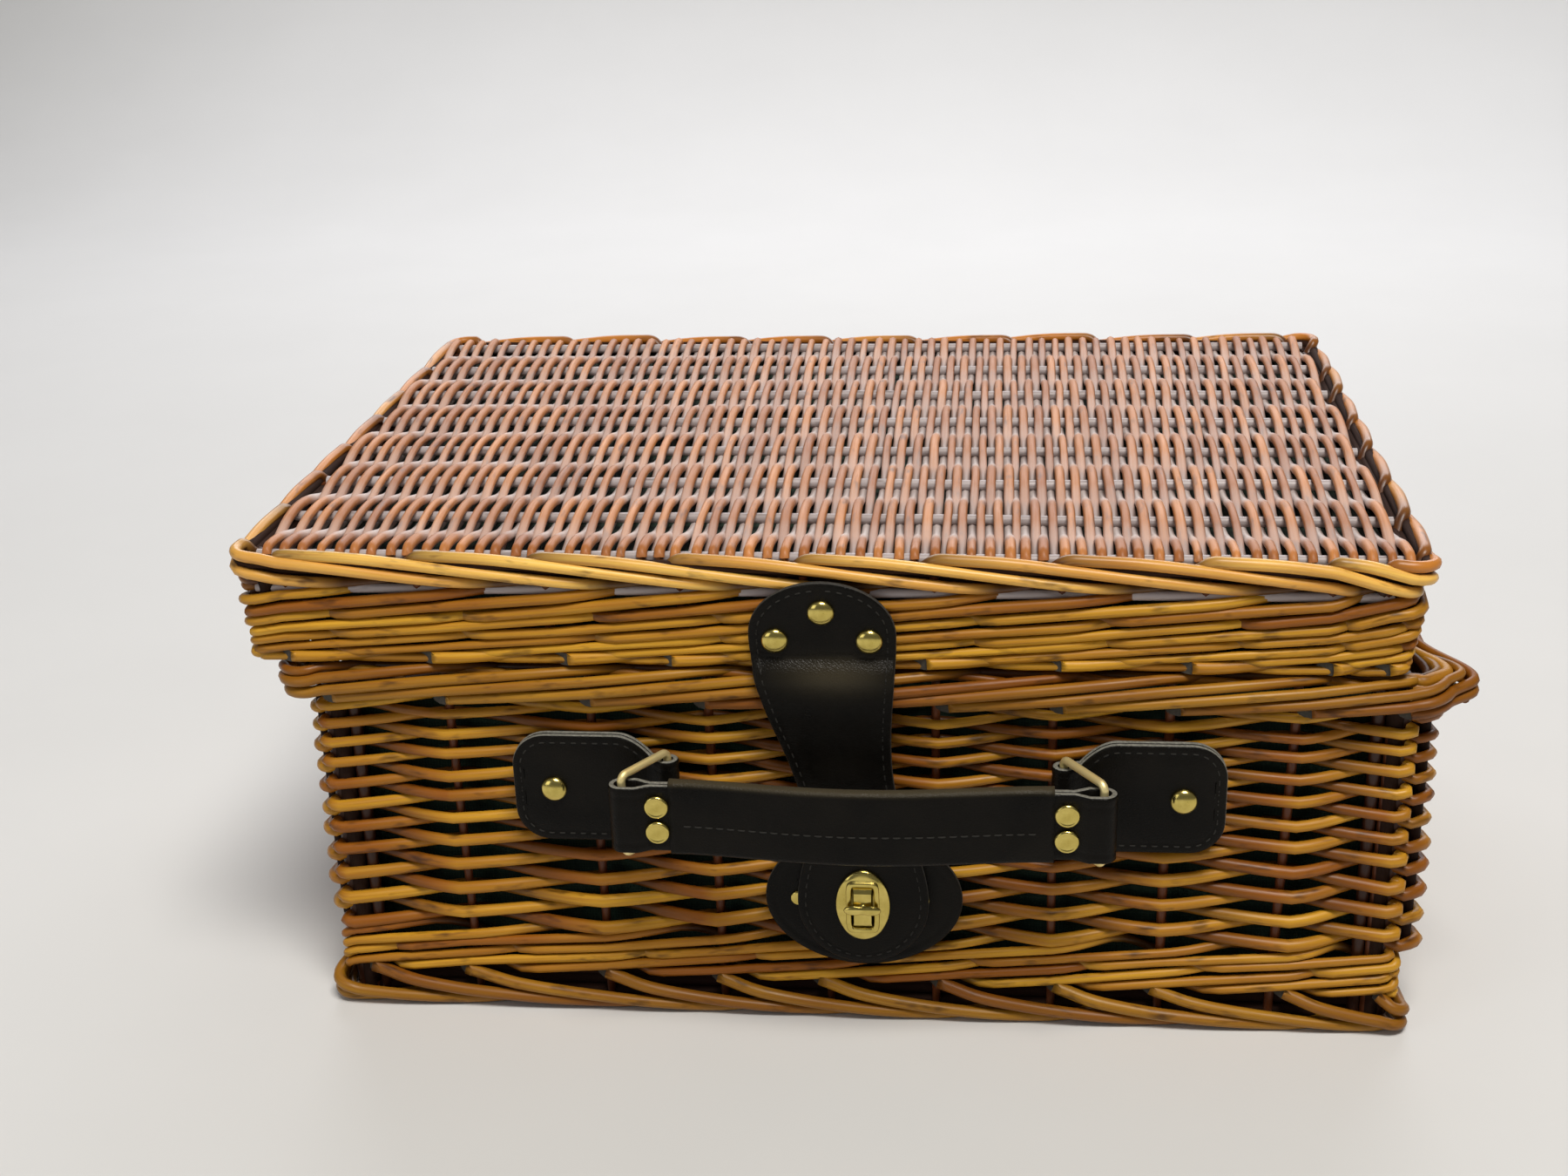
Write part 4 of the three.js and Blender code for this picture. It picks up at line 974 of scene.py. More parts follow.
def make_siding():
    siding = Rods()
    randing(siding, base_plan, base_low[2], base_high[2])
    siding.piece("siding_weave", WILLOW, ("side_weave",))
    wale = Rods()
    waling(wale, base_plan, WALE_FOOT, WALE_BANDS)
    wale.piece("bottom_wale_rods", WILLOW, ("bottom_wale",))


def make_foot():
    face = FOOT_RADIUS - (base_low[1] - foot_low[1]) - 0.3
    foot = Rods()
    # The low tone and lit below one are painted shade near the floor
    border(foot, base_plan, [
        (-0.02, 3.4, 16.0), (0.12, 2.0, 14.2), (0.4, face + 0.6, 11.2), (0.85, face, 7.6),
        (1.35, face + 0.1, 4.8), (1.8, face + 1.4, 3.1), (2.2, 2, FOOT_RADIUS + 0.1),
        (2.6, 7, FOOT_RADIUS + 0.5)], FOOT_RADIUS, cut=True, tone=0.29, lit=0.58)
    foot.piece("foot_border_rods", WILLOW, ("foot_border",))
    core = Rods()
    for inset, z in FOOT_CORE:
        hoop(core, base_plan, inset, z, FOOT_CORE_RADIUS, tone=0.1, shade=0.15)
    core.piece("foot_core_rods", SHADED_CORE_WILLOW)


def make_rim():
    """An outer row of rods that climb the rim, and an inner row that comes over it."""
    face = RIM_RADIUS - (base_low[1] - rim_low[1])
    low = rim_low[2]
    rim = Rods()
    # The outer row's low tone and lit below one are painted shade under the lid's overhang
    border(rim, base_plan, [
        (0.02, face + 2.6, low + 0.6), (0.5, face + 1.2, low + 2.6), (1.1, face, low + 5.4),
        (1.9, face + 0.2, low + 9.2), (2.5, face + 1.4, low + 11.8), (3.0, 2.0, low + 12.7),
        (3.4, 6.5, low + 12.4)], RIM_RADIUS, cut=True, steps=12, swell=rim_ear, tone=0.29, lit=0.62)
    border(rim, base_plan, [
        (0.0, 9.0, low + 0.5), (0.3, 9.6, low + 5.0), (0.9, 9.0, low + 10.0), (1.5, 6.4, low + 12.3),
        (2.2, 4.2, low + 12.0), (2.7, 3.2, low + 9.5)], RIM_RADIUS, swell=inner_ear, tone=0.3)
    rim.piece("rim_border_rods", WILLOW, ("rim_border",))


def make_lid_wall():
    """The lid's wale, and under it a row of cut stubs over a row of thin rods."""
    wale = Rods()
    waling(wale, lid_plan, LID_WALE_FOOT, LID_WALE_BANDS)
    wale.piece("lid_wale_rods", WILLOW, ("lid_wale",), "lid")
    low = lid_rim_low[2]
    size = LID_STUB_RADIUS
    rim = Rods()
    border(rim, lid_plan, [
        (0.0, size - 0.2, low + 2.9), (0.22, size + 0.1, low + 3.1), (0.5, size + 1.6, low + 3.6),
        (0.85, 6.4, low + 3.8), (1.2, 9.5, low + 3.6)], size, cut=True)
    border(rim, lid_plan, [
        (-0.75, 7.5, low + 1.9), (-0.45, 4.2, low + 2.0), (-0.12, 3.9, low + 2.0), (0.2, 4.4, low + 2.0),
        (0.55, 7.5, low + 2.2)], LID_UNDER_RADIUS)
    hoop(rim, lid_plan, 9.0, low + 2.6, LID_STUB_CORE_RADIUS, tone=0.2, shade=0.4)
    rim.piece("lid_rim_rods", WILLOW, ("lid_rim_border",), "lid")


def make_lid_border():
    top = lid_top_high[2]
    size = LID_BORDER_RADIUS
    edge = Rods()
    border(edge, lid_plan, [
        (-0.2, 8.6, top - 11), (-0.06, 6.8, top - 6.0), (0.03, 5.3, top - size - 0.3), (0.2, 4.4, top - size),
        (0.6, 3.2, top - size - 0.8), (1.1, size + 0.1, top - 6.0), (1.7, size, top - 10.0),
        (2.2, 3.4, top - 13.2), (2.5, 6.5, top - 14.4), (2.8, 9.5, top - 14.6)], size, deepening=0.68)
    edge.piece("lid_border_rods", BORDER_WILLOW, ("lid_top_border",), "lid")
    core = Rods()
    for inset, drop in LID_CORE:
        hoop(core, lid_plan, inset, top - drop, LID_CORE_RADIUS, tone=0.2, shade=0.3)
    core.piece("lid_core_rods", SHADED_CORE_WILLOW, (), "lid")
    # A pale rod behind the front of the border: a painted highlight of the light on the top of the wale
    inner = Rods()
    front = np.linspace(-0.4, STAKES_LONG - 0.6, LONG_STEPS)
    inner.add(lid_plan.walk(front, HIGHLIGHT_HOOP_INSET, top - HIGHLIGHT_HOOP_DROP), HIGHLIGHT_HOOP_RADIUS, tone=1.0)
    inner.piece("lid_highlight_hoop", SHEEN_STICK_WILLOW, (), "lid")


# Woven panels: weavers along y pass over and under sticks along x

def panel_sticks(low, high, lines, size, level):
    bars = Rods()
    across = np.linspace(low[0], high[0], LONG_STEPS)
    places = np.linspace(low[0], high[0], SWAY_PLACES)
    for y in lines:
        sway = np.interp(across, places, rng.normal(0, SWAY_NOISE, SWAY_PLACES))
        path = columns(across, y + sway, level)
        bars.add(path, size * rng.uniform(*STICK_SIZES), rng.uniform(*STICK_TONES))
    return bars


def panel_weave(low, high, sticks, stick_size, weavers, weaver_size, level, facing, together):
    """Sticks and weavers of a flat panel, as two bundles. The end sticks are its front and back edges.
    A weaver passes over a stick on the facing side where their counts come to an even sum. Weavers go
    one or more together."""
    lines = np.linspace(low[1] + stick_size, high[1] - stick_size, sticks + 2)
    bars = panel_sticks(low, high, lines, stick_size, level)
    woven = Rods()
    pitch = (high[0] - low[0]) / weavers
    marks = np.arange(len(lines))
    count = np.arange((len(lines) - 1) * BAY_STEPS + 1) / BAY_STEPS
    for i in range(weavers):
        size = weaver_size * rng.uniform(*WEAVER_SIZES)
        x = low[0] + pitch * (i + 0.5) + rng.normal(0, WEAVER_PLACE_NOISE)
        phase = np.pi * (count + i // together + 1)
        swing = np.tanh(WEAVE_FLATNESS * np.cos(phase)) / math.tanh(WEAVE_FLATNESS)
        reach = stick_size + size - WEAVE_SINK
        lean = np.interp(count, marks, rng.normal(0, WEAVER_LEAN_NOISE, len(lines)))
        path = columns(x + lean, np.interp(count, marks, lines), level + facing * reach * swing)
        # Painted shade where the weaver dips under a stick, and a painted sheen on its slopes, weaker on one
        # side
        shade = smooth((swing - WEAVE_DARK) / WEAVE_DARK_SPAN)
        painted_sheen = smooth((PAINTED_SHEEN_TOP - swing) / PAINTED_SHEEN_SPAN) * np.where(np.sin(phase) > 0, 1, PAINTED_SHEEN_FAR_SIDE)
        if facing > 0:
            path, shade, painted_sheen = wrapped(path, shade, painted_sheen, reach, level)
        woven.add(path, size, rng.uniform(0.0, 1.0), shade, painted_sheen, sides=WEAVER_SIDES)
    return bars, woven


def wrapped(path, shade, painted_sheen, reach, level):
    """A weaver that comes over an edge stick bends down round it."""
    turn = np.radians(np.linspace(0, WRAP_DEGREES, WRAP_STEPS + 1))[1:]
    bright = np.ones(WRAP_STEPS)
    for forward in (False, True):
        x, y, z = path[-1 if forward else 0]
        if z > level:
            side = y + (1 if forward else -1) * reach * np.sin(turn)
            arc = columns(x, side, level + reach * np.cos(turn))
            path = np.vstack([path, arc] if forward else [arc[::-1], path])
            shade = np.concatenate([shade, bright] if forward else [bright, shade])
            painted_sheen = np.concatenate([painted_sheen, 0 * bright] if forward else [0 * bright, painted_sheen])
    return path, shade, painted_sheen


def make_panels():
    low, high = node_box("lid_panel")
    level = high[2] - LID_WEAVE_DROP
    bars, woven = panel_weave(low - LID_PANEL_SPARE_LOW, high + LID_PANEL_SPARE_HIGH, LID_STICKS,
                              LID_STICK_RADIUS, LID_WEAVERS, LID_WEAVER_RADIUS, level, facing=1, together=1)
    bars.piece("lid_top_sticks", SHEEN_STICK_WILLOW, (), "lid", "lid_willow")
    woven.piece("lid_top_weave", LID_WILLOW, ("lid_panel",), "lid", "lid_willow")
    low, high = node_box("base_floor")
    level = high[2] - 2 * FLOOR_WEAVER_RADIUS - FLOOR_STICK_RADIUS
    bars, woven = panel_weave(low, high, FLOOR_STICKS, FLOOR_STICK_RADIUS, FLOOR_WEAVERS,
                              FLOOR_WEAVER_RADIUS, level, facing=-1, together=2)
    bars.piece("floor_sticks", STAKE_WILLOW)
    woven.piece("floor_weave", WILLOW, ("base_floor",))


# Cloth lining: one sheet over the flat and up the walls, with soft folds and a rolled hem

def folds(arc, total, rise):
    """How far the cloth stands in from the wall: shallow upright folds, flatter at the sewn edges."""
    depth = np.zeros(np.broadcast(arc, rise).shape)
    for waves, size in FOLD_WAVES:
        turn = 2 * np.pi * waves * arc / total + rng.uniform(0, 6.28) + FOLD_LEAN * rise
        depth = depth + size * (1 + np.sin(turn))
    return depth * (FOLD_EDGE + (1 - FOLD_EDGE) * np.sin(np.pi * rise))


def lining(name, node, out, flat_z, hem_z, body):
    low, high = node_box(node)
    plan = Plan(low + LINING_SPARE, high - LINING_SPARE, LINING_ROUND)
    arc = np.linspace(0, plan.total, LINING_POINTS, endpoint=False)
    rise = np.linspace(0, 1, LINING_WALL_ROWS + 1)
    inset = folds(arc[None], plan.total, rise[:, None]) - out[0] - (out[1] - out[0]) * rise[:, None]
    flat = plan.at(arc, np.full_like(arc, -out[0])) - plan.centre
    rows = []
    for share in np.linspace(LINING_FIRST_ROW, 1, LINING_FLOOR_ROWS, endpoint=False):
        rows.append(np.column_stack([plan.centre + flat * share, np.full_like(arc, flat_z)]))
    for share, depth in zip(rise, inset):
        height = np.full_like(arc, flat_z + (hem_z - flat_z) * share)
        rows.append(np.column_stack([plan.at(arc, depth), height]))
    faces = [tuple(range(LINING_POINTS))[::-1]] + ring_faces(len(rows), LINING_POINTS, closed=False)
    mesh = mesh_from(name, np.concatenate(rows), faces, (LINING,))
    cloth = piece(name, mesh, (node,), body)
    thickness = cloth.modifiers.new("thickness", "SOLIDIFY")
    thickness.thickness = LINING_THICKNESS * MM
    thickness.offset = 0
    hem = Rods()
    hem.add(rows[-1], HEM_RADIUS, closed=True)
    rolled = hem.piece(f"{name}_hem", LINING, (), body, "lining")


def make_linings():
    low, high = node_box("base_lining")
    lining("base_cloth", "base_lining", BASE_LINING_OUT, low[2] + BASE_LINING_RISE, high[2], "base")
    low, high = node_box("lid_lining")
    lining("lid_cloth", "lid_lining", LID_LINING_OUT, high[2] - LID_LINING_DROP, low[2], "lid")


# Leather: flat pieces drawn as half widths along their length, laid on a path

def edge_points(lengths, halves, inset):
    """The right edge of an outline of half widths along its length, moved in square to itself."""
    line = columns(halves, lengths)
    tangent = unit(np.gradient(line, axis=0))
    inward = columns(tangent[:, 1], -tangent[:, 0])
    if lengths[-1] > lengths[0]:
        inward = -inward
    moved = line + inset * inward
    moved[:, 0] = np.maximum(moved[:, 0], 0)
    return moved


def leather_piece(name, lengths, halves, place, nodes, body=None, edge_look=RAW_EDGE):
    """A leather piece with rounded raw edges and a pressed line under its stitches.
    place(across, along, depth) gives the points on the object, with depth from the front face."""
    front = [(edge_points(lengths, halves, inset), depth) for inset, depth in FRONT_STEPS]
    back = [(edge_points(lengths, halves, inset), LEATHER - depth) for inset, depth in BACK_STEPS]
    middle = np.linspace(-1, 1, MIDDLE_COLUMNS + 1)[1:-1]
    lines = [(edge, depth, -1) for edge, depth in front]
    lines += [(front[-1][0], 0.0, share) for share in middle]
    lines += [(edge, depth, 1) for edge, depth in front[::-1] + back]
    lines += [(edge, depth, -1) for edge, depth in back[::-1]]
    points = np.stack([place(share * edge[:, 0], edge[:, 1], depth) for edge, depth, share in lines], axis=1)
    rows, count = points.shape[:2]
    turn = count - 2 * len(back)
    # The columns that run round the two edges are raw
    raw = np.zeros(count, int)
    raw[[0, turn - 2, turn - 1, turn, count - 2, count - 1]] = 1
    kinds = np.append(np.tile(raw, rows - 1), [1, 1])
    materials = (LEATHER_DARK, edge_look)
    mesh = mesh_from(name, points.reshape(-1, 3), capped_faces(rows, count), materials, kinds, merge=0.02)
    return piece(name, mesh, nodes, body)


def stitches(name, points, out, body=None):
    """A row of short thread stitches, each sunk at both ends. out holds the directions out of the leather."""
    sewn = Rods()
    marks = arc_lengths(points)
    count = int(marks[-1] // STITCH_PITCH)
    first = (marks[-1] - count * STITCH_PITCH) / 2
    for i in range(count):
        spots = first + i * STITCH_PITCH + STITCH_LENGTH * np.linspace(0, 1, len(STITCH_RISE))
        lift = unit(between(out, marks, spots)) * np.array(STITCH_RISE)[:, None]
        sewn.add(between(points, marks, spots) + lift, STITCH_RADIUS, sides=STITCH_SIDES)
    return sewn.piece(name, THREAD, (), body, "leather")


def edge_line(place, lengths, halves, keep=math.inf, turn=1):
    """A stitched line inside the edge of a piece, from one side round its first end to the other side,
    with the directions out of the leather. turn tells the side that it starts from."""
    edge = edge_points(lengths, halves, STITCH_INSET)
    edge = edge[edge[:, 1] < keep]
    across = turn * np.concatenate([-edge[::-1, 0], edge[:, 0]])
    along = np.concatenate([edge[::-1, 1], edge[:, 1]])
    line = place(across, along, STITCH_DEPTH)
    return line, place(across, along, STITCH_DEPTH - 1) - line


def round_cornered(total, radius, half_at, steps, corner_steps, end_steps):
    """Lengths and half widths of a strip with rounded corners at both ends."""
    corner = radius * (1 - np.cos(np.linspace(0, np.pi / 2, corner_steps)))
    middle = np.linspace(radius, total - radius, steps)[1:-1]
    lengths = np.concatenate([corner, middle, total - corner[::-1]])
    halves = half_at(lengths)
    end = np.linspace(0, halves[0], end_steps + 1)[:-1]
    lengths = np.concatenate([np.zeros(end_steps), lengths, np.full(end_steps, total)])
    return lengths, np.concatenate([end, halves, end[::-1]])


def painted_highlight(made, share):
    """Marks where a leather piece gets a painted highlight. share gives a value for each of its points."""
    points = np.empty(3 * len(made.data.vertices), np.float32)
    made.data.vertices.foreach_get("co", points)
    value = np.asarray(share(points.reshape(-1, 3) / MM), np.float32)
    made.data.attributes.new("painted_highlight", "FLOAT", "POINT").data.foreach_set("value", value)


def bend(pieces, first, second, middle, reach):
    """Bakes each piece's place into its mesh and blends nothing. The two bodies are not used, and the point
    and the reach, a negative one running downwards, only give a span that is not used."""
    low, high = (tuple(np.add(middle, (0, 0, step)) * MM) for step in (-reach, reach))
    for made in pieces:
        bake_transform(made)


# Clasp strap: from its rivets on the lid down over the rim to the lock, in one piece

lock_centre = node_centre("lock_slot_plate")
strap_low, strap_high = node_box("clasp_strap")
flap_low, flap_high = node_box("clasp_flap")
strap_head_x = node_centre("strap_rivet_2")[0]
lowest_rivet = min(node_centre(f"strap_rivet_{i}")[2] for i in STRAP_RIVETS)
strap_top = strap_high[2] + STRAP_TOP_LAP
bend_z = (strap_low[2] + flap_high[2]) / 2
flap_back = flap_high[1]
head_low = lowest_rivet - STRAP_CREASE_DROP
seam_z = (rim_high[2] + lid_rim_low[2]) / 2


def lid_front(z):
    """The front of the lid's wall at a height, with the seat gap."""
    foot = lid_plan.centre[1] - lid_plan.flat[1] - lid_plan.radius
    return foot - lid_lean(z) - SEAT_GAP


def strap_back_line():
    """The strap's back in y and z, from its top edge to its free end."""
    middle = (strap_top + head_low) / 2
    rim_height = rim_high[2] - rim_low[2]
    rim_front = base_low[1] - RIM_STAND - SEAT_GAP
    return spline([
        (lid_front(strap_top), strap_top), (lid_front(middle), middle),
        (lid_front(head_low) - STRAP_LIFT, head_low), (rim_front, seam_z), (rim_front, rim_low[2]),
        (flap_back, rim_low[2] - rim_height), (flap_back, rim_low[2] - 2 * rim_height), (flap_back, bend_z),
        (flap_back, lock_centre[2]), (flap_back, flap_low[2])], STRAP_BACK_STEPS)


strap_back_y, strap_back_z = strap_back_line()[::-1].T


def strap_half(z):
    """Half the strap's width at a height: a rounded head, a waist behind the handle and a wide round end."""
    shoulder = strap_top - STRAP_HEAD_ROUND
    lock_z = lock_centre[2]
    upper = (STRAP_HEAD_WIDTH - STRAP_WAIST_WIDTH) * ease((z - STRAP_WAIST_Z) / (shoulder - STRAP_WAIST_Z))
    lower = (STRAP_END_WIDTH - STRAP_WAIST_WIDTH) * ease((STRAP_WAIST_Z - z) / (STRAP_WAIST_Z - lock_z))
    half = (STRAP_WAIST_WIDTH + upper + lower) / 2
    head = round_off((z - shoulder) / STRAP_HEAD_ROUND)
    end = round_off((lock_z - z) / (lock_z - flap_low[2]))
    return half * head * end


def strap_middle(z):
    """The strap leans from the lock to its head, because the lid sits off to one side."""
    share = np.clip((z - bend_z) / (lowest_rivet - bend_z), 0, 1)
    return lock_centre[0] + (strap_head_x - lock_centre[0]) * np.sin(np.pi / 2 * share)


def strap_place(across, z, depth):
    """Points on the strap: depth runs in from its front face."""
    y = np.interp(z, strap_back_z, strap_back_y)
    slope = np.interp(z, strap_back_z, np.gradient(strap_back_y, strap_back_z))
    out = unit(columns(-1.0, slope))
    fold = z - head_low - CREASE_WAVE * np.sin(across / CREASE_WAVE_LENGTH)
    crease = CREASE_DEPTH * np.exp(-(fold / CREASE_WIDTH) ** 2)
    bulge = BULGE_HEIGHT * np.exp(-((z - head_low + BULGE_DROP) / BULGE_SPREAD) ** 2)
    lift = (LEATHER - depth - crease + bulge)[:, None] * out
    return columns(strap_middle(z) + across, y + lift[:, 0], z + lift[:, 1])


def strap_stations():
    """Heights down the strap, closer together towards its rounded ends."""
    crowd = 1 - np.cos(np.linspace(0, np.pi / 2, STRAP_END_STEPS))
    head = strap_top - crowd * STRAP_HEAD_ROUND
    foot = flap_low[2] + crowd[::-1] * (lock_centre[2] - flap_low[2])
    return np.concatenate([head, np.linspace(head[-1], foot[0], STRAP_STEPS + 2)[1:-1], foot])


def strap_highlight(points):
    """A painted highlight on the strap where it bulges under its rivets."""
    spot = np.add((strap_head_x, head_low - BULGE_DROP), STRAP_HIGHLIGHT_SHIFT)
    away = (points[:, [0, 2]] - spot) / STRAP_HIGHLIGHT_SIZE
    return STRAP_HIGHLIGHT * np.exp(-(away ** 2).sum(axis=1))


def cut_slot(strap):
    """Cuts the opening for the lock's post through the strap's free end."""
    mesh = bpy.data.meshes.new("slot_cutter")
    work = bmesh.new()
    bmesh.ops.create_cube(work, size=1.0)
    through = [edge for edge in work.edges if abs(edge.verts[0].co.y - edge.verts[1].co.y) > 0.5]
    bmesh.ops.bevel(work, geom=through, offset=SLOT_CUT_ROUND, segments=3, affect="EDGES")
    work.to_mesh(mesh)
    work.free()
    cutter = bpy.data.objects.new("slot_cutter", mesh)
    bpy.context.scene.collection.objects.link(cutter)
    cutter.scale = Vector(SLOT_CUT) * MM
    cutter.location = Vector((lock_centre[0], flap_back - LEATHER / 2, lock_centre[2])) * MM
    cutting = strap.modifiers.new("slot", "BOOLEAN")
    cutting.operation = "DIFFERENCE"
    cutting.solver = "EXACT"
    cutting.object = cutter
    bpy.context.view_layer.update()
    cut = bpy.data.meshes.new_from_object(strap.evaluated_get(bpy.context.evaluated_depsgraph_get()))
    strap.modifiers.clear()
    strap.data = cut
    bpy.data.objects.remove(cutter)


def make_strap():
    z = strap_stations()
    half = strap_half(z)
    nodes = ("clasp_strap", "clasp_flap")
    strap = leather_piece("clasp_leather", z, half, strap_place, nodes, edge_look=DYED_EDGE)
    cut_slot(strap)
    painted_highlight(strap, strap_highlight)
    sewn = stitches("clasp_stitches", *edge_line(strap_place, z[::-1], half[::-1], turn=-1))
    bend((strap, sewn), "lid", "strap_flap", (lock_centre[0], flap_back, bend_z), -BEND_REACH)


# Leather strips laid on a path

class Strip:
    """The outer face of a leather strip seen from its edge. The leather lies to the right of the path."""

    def __init__(self, points):
        self.points = np.asarray(points, float)
        self.marks = arc_lengths(self.points)
        self.total = self.marks[-1]
        ahead = unit(np.gradient(self.points, self.marks, axis=0))
        self.inward = columns(ahead[:, 1], -ahead[:, 0])

    def at(self, along, depth):
        inward = unit(between(self.inward, self.marks, along))
        return between(self.points, self.marks, along) + inward * depth

    def placing(self, origin, sign):
        """The place function of an upright strip that runs along x, mirrored by its sign."""
        def place(across, along, depth):
            spot = self.at(along, depth)
            return origin + columns(sign * spot[:, 0], spot[:, 1], across)
        return place


# Handle tabs: folded round the ring's wire, two leaves under one rivet

def tab_strip():
    """The tab's outer face from the end of its front leaf, round the wire, to the end of its back leaf."""
    face = LEATHER * 2 - TAB_LOOP
    rise = spline([(TAB_LOOP * 2.6, -face), (TAB_LOOP * 2, -face), (TAB_LOOP * 1.2, -face - 0.8),
                   (TAB_LOOP * 0.6, -TAB_LOOP + 0.5), (0, -TAB_LOOP)], RISE_STEPS)
    rise[:RISE_STEPS, 1] = -face
    loop = arc_points((0, 0), TAB_LOOP, 270, 90, LOOP_STEPS)[1:]
    front = np.linspace((TAB_LENGTH, -face), rise[0], LEAF_STEPS + 1)[:-1]
    back = np.linspace((0, TAB_LOOP), (TAB_LENGTH, TAB_LOOP), LEAF_STEPS + 1)[1:]
    return Strip(np.vstack([front, rise, loop, back]))


def tab_half(reach, height):
    """Half the tab's height at a distance from the wire: a neck, a shoulder and a round-cornered end."""
    share = np.clip((reach - TAB_NECK_LENGTH) / TAB_SHOULDER_LENGTH, 0, 1)
    half = TAB_NECK / 2 + (height - TAB_NECK) / 2 * (1 - (1 - share) ** 2)
    return half - TAB_CORNER * (1 - round_off((reach - TAB_LENGTH + TAB_CORNER) / TAB_CORNER))


def make_tab(side, sign):
    name = f"handle_tab_{side}"
    low, high = node_box(name)
    inner = high[0] - TAB_LOOP if side == "left" else low[0] + TAB_LOOP
    wire = np.array((inner, low[1] + TAB_LOOP, (low[2] + high[2]) / 2))
    strip = tab_strip()

    def half_at(marks):
        return tab_half(np.interp(marks, strip.marks, strip.points[:, 0]), high[2] - low[2])

    lengths, halves = round_cornered(strip.total, TAB_CORNER, half_at, steps=70, corner_steps=10, end_steps=4)
    place = strip.placing(wire, sign)
    leather_piece(f"{name}_leather", lengths, halves, place, (name,), "base")
    stitches(f"{name}_stitches", *edge_line(place, lengths, halves, TAB_SEAM_STOP), "base")
    make_ring(side, sign, wire)


def make_ring(side, sign, wire):
    """One bent wire through the tab and the end of the handle."""
    name = f"ring_{side}"
    low, high = node_box(name)
    up = np.array((0, 0, 1))
    out = np.array((sign * math.sin(RING_ANGLE), -math.cos(RING_ANGLE), 0))
    half_long = (high[1] - low[1] - 2 * WIRE_RADIUS) / -out[1] / 2
    half_tall = (high[2] - low[2]) / 2 - WIRE_RADIUS
    flat = np.vstack(corner_arcs(half_long, half_tall, RING_CORNER, steps=8))
    path = wire + (flat[:, :1] + half_long) * out + flat[:, 1:] * up
    ring = Rods()
    ring.add(path, WIRE_RADIUS, closed=True, sides=WIRE_SIDES, level=np.cross(out, up))
    ring.piece(f"{name}_wire", BRASS_WIRE, (name,), name, "brass")


# Handle: a band folded round each ring, and a sewn sleeve round its middle

band_low, band_high = node_box("handle_band")
sleeve_low, sleeve_high = node_box("handle_sleeve")
handle_centre = (band_low + band_high) / 2
handle_centre[1] = band_high[1] - HANDLE_LOOP
band_half = (band_high - band_low) / 2
sleeve_half = (sleeve_high - sleeve_low) / 2
sleeve_thick = sleeve_half[1] - HANDLE_ARCH / 2


def band_strip():
    """The band's outer face at one end, from inside the sleeve round the ring and back."""
    tip = band_half[0] - HANDLE_LOOP
    neck = tip - HANDLE_LOOP_LENGTH
    taper = neck - HANDLE_LOOP_TAPER
    leaf = LEATHER - 0.1
    back = spline([(sleeve_half[0] - SLEEVE_OVERLAP, leaf), (taper - 2, leaf), (taper, leaf + 0.1),
                   (neck, HANDLE_LOOP - 0.1), (neck + 2, HANDLE_LOOP), (tip, HANDLE_LOOP)], steps=6)
    loop = arc_points((tip, 0), HANDLE_LOOP, 90, -90, LOOP_STEPS)[1:-1]
    return Strip(np.vstack([back, loop, back[::-1] * (1, -1)]))


def make_band(side, sign):
    strip = band_strip()
    lengths = np.linspace(0, strip.total, BAND_STEPS)
    nodes = ("handle_band",) if side == "left" else ()
    place = strip.placing(handle_centre, sign)
    leather_piece(f"handle_band_{side}", lengths, np.full(BAND_STEPS, band_half[2]), place, nodes, "handle")


def sleeve_section(half_y, half_z, radius):
    """Points round an upright oblong with rounded corners and filled flat sides."""
    upper_front, upper_back, lower_back, lower_front = corner_arcs(half_y, half_z, radius, steps=6)
    side = np.linspace((-half_y, half_z - radius), (-half_y, radius - half_z), 10)[1:-1]
    return np.vstack([upper_front, upper_back, side, lower_back, lower_front, -side])


def sleeve_swell(z):
    """The sleeve is thicker at its middle height."""
    return 1 + SLEEVE_SWELL * (1 - (z / sleeve_half[2]) ** 2)


# A painted highlight along the sleeve's rounded top edge
def sleeve_highlight(points):
    return smooth((points[:, 2] - sleeve_high[2] + SLEEVE_HIGHLIGHT) / SLEEVE_HIGHLIGHT)


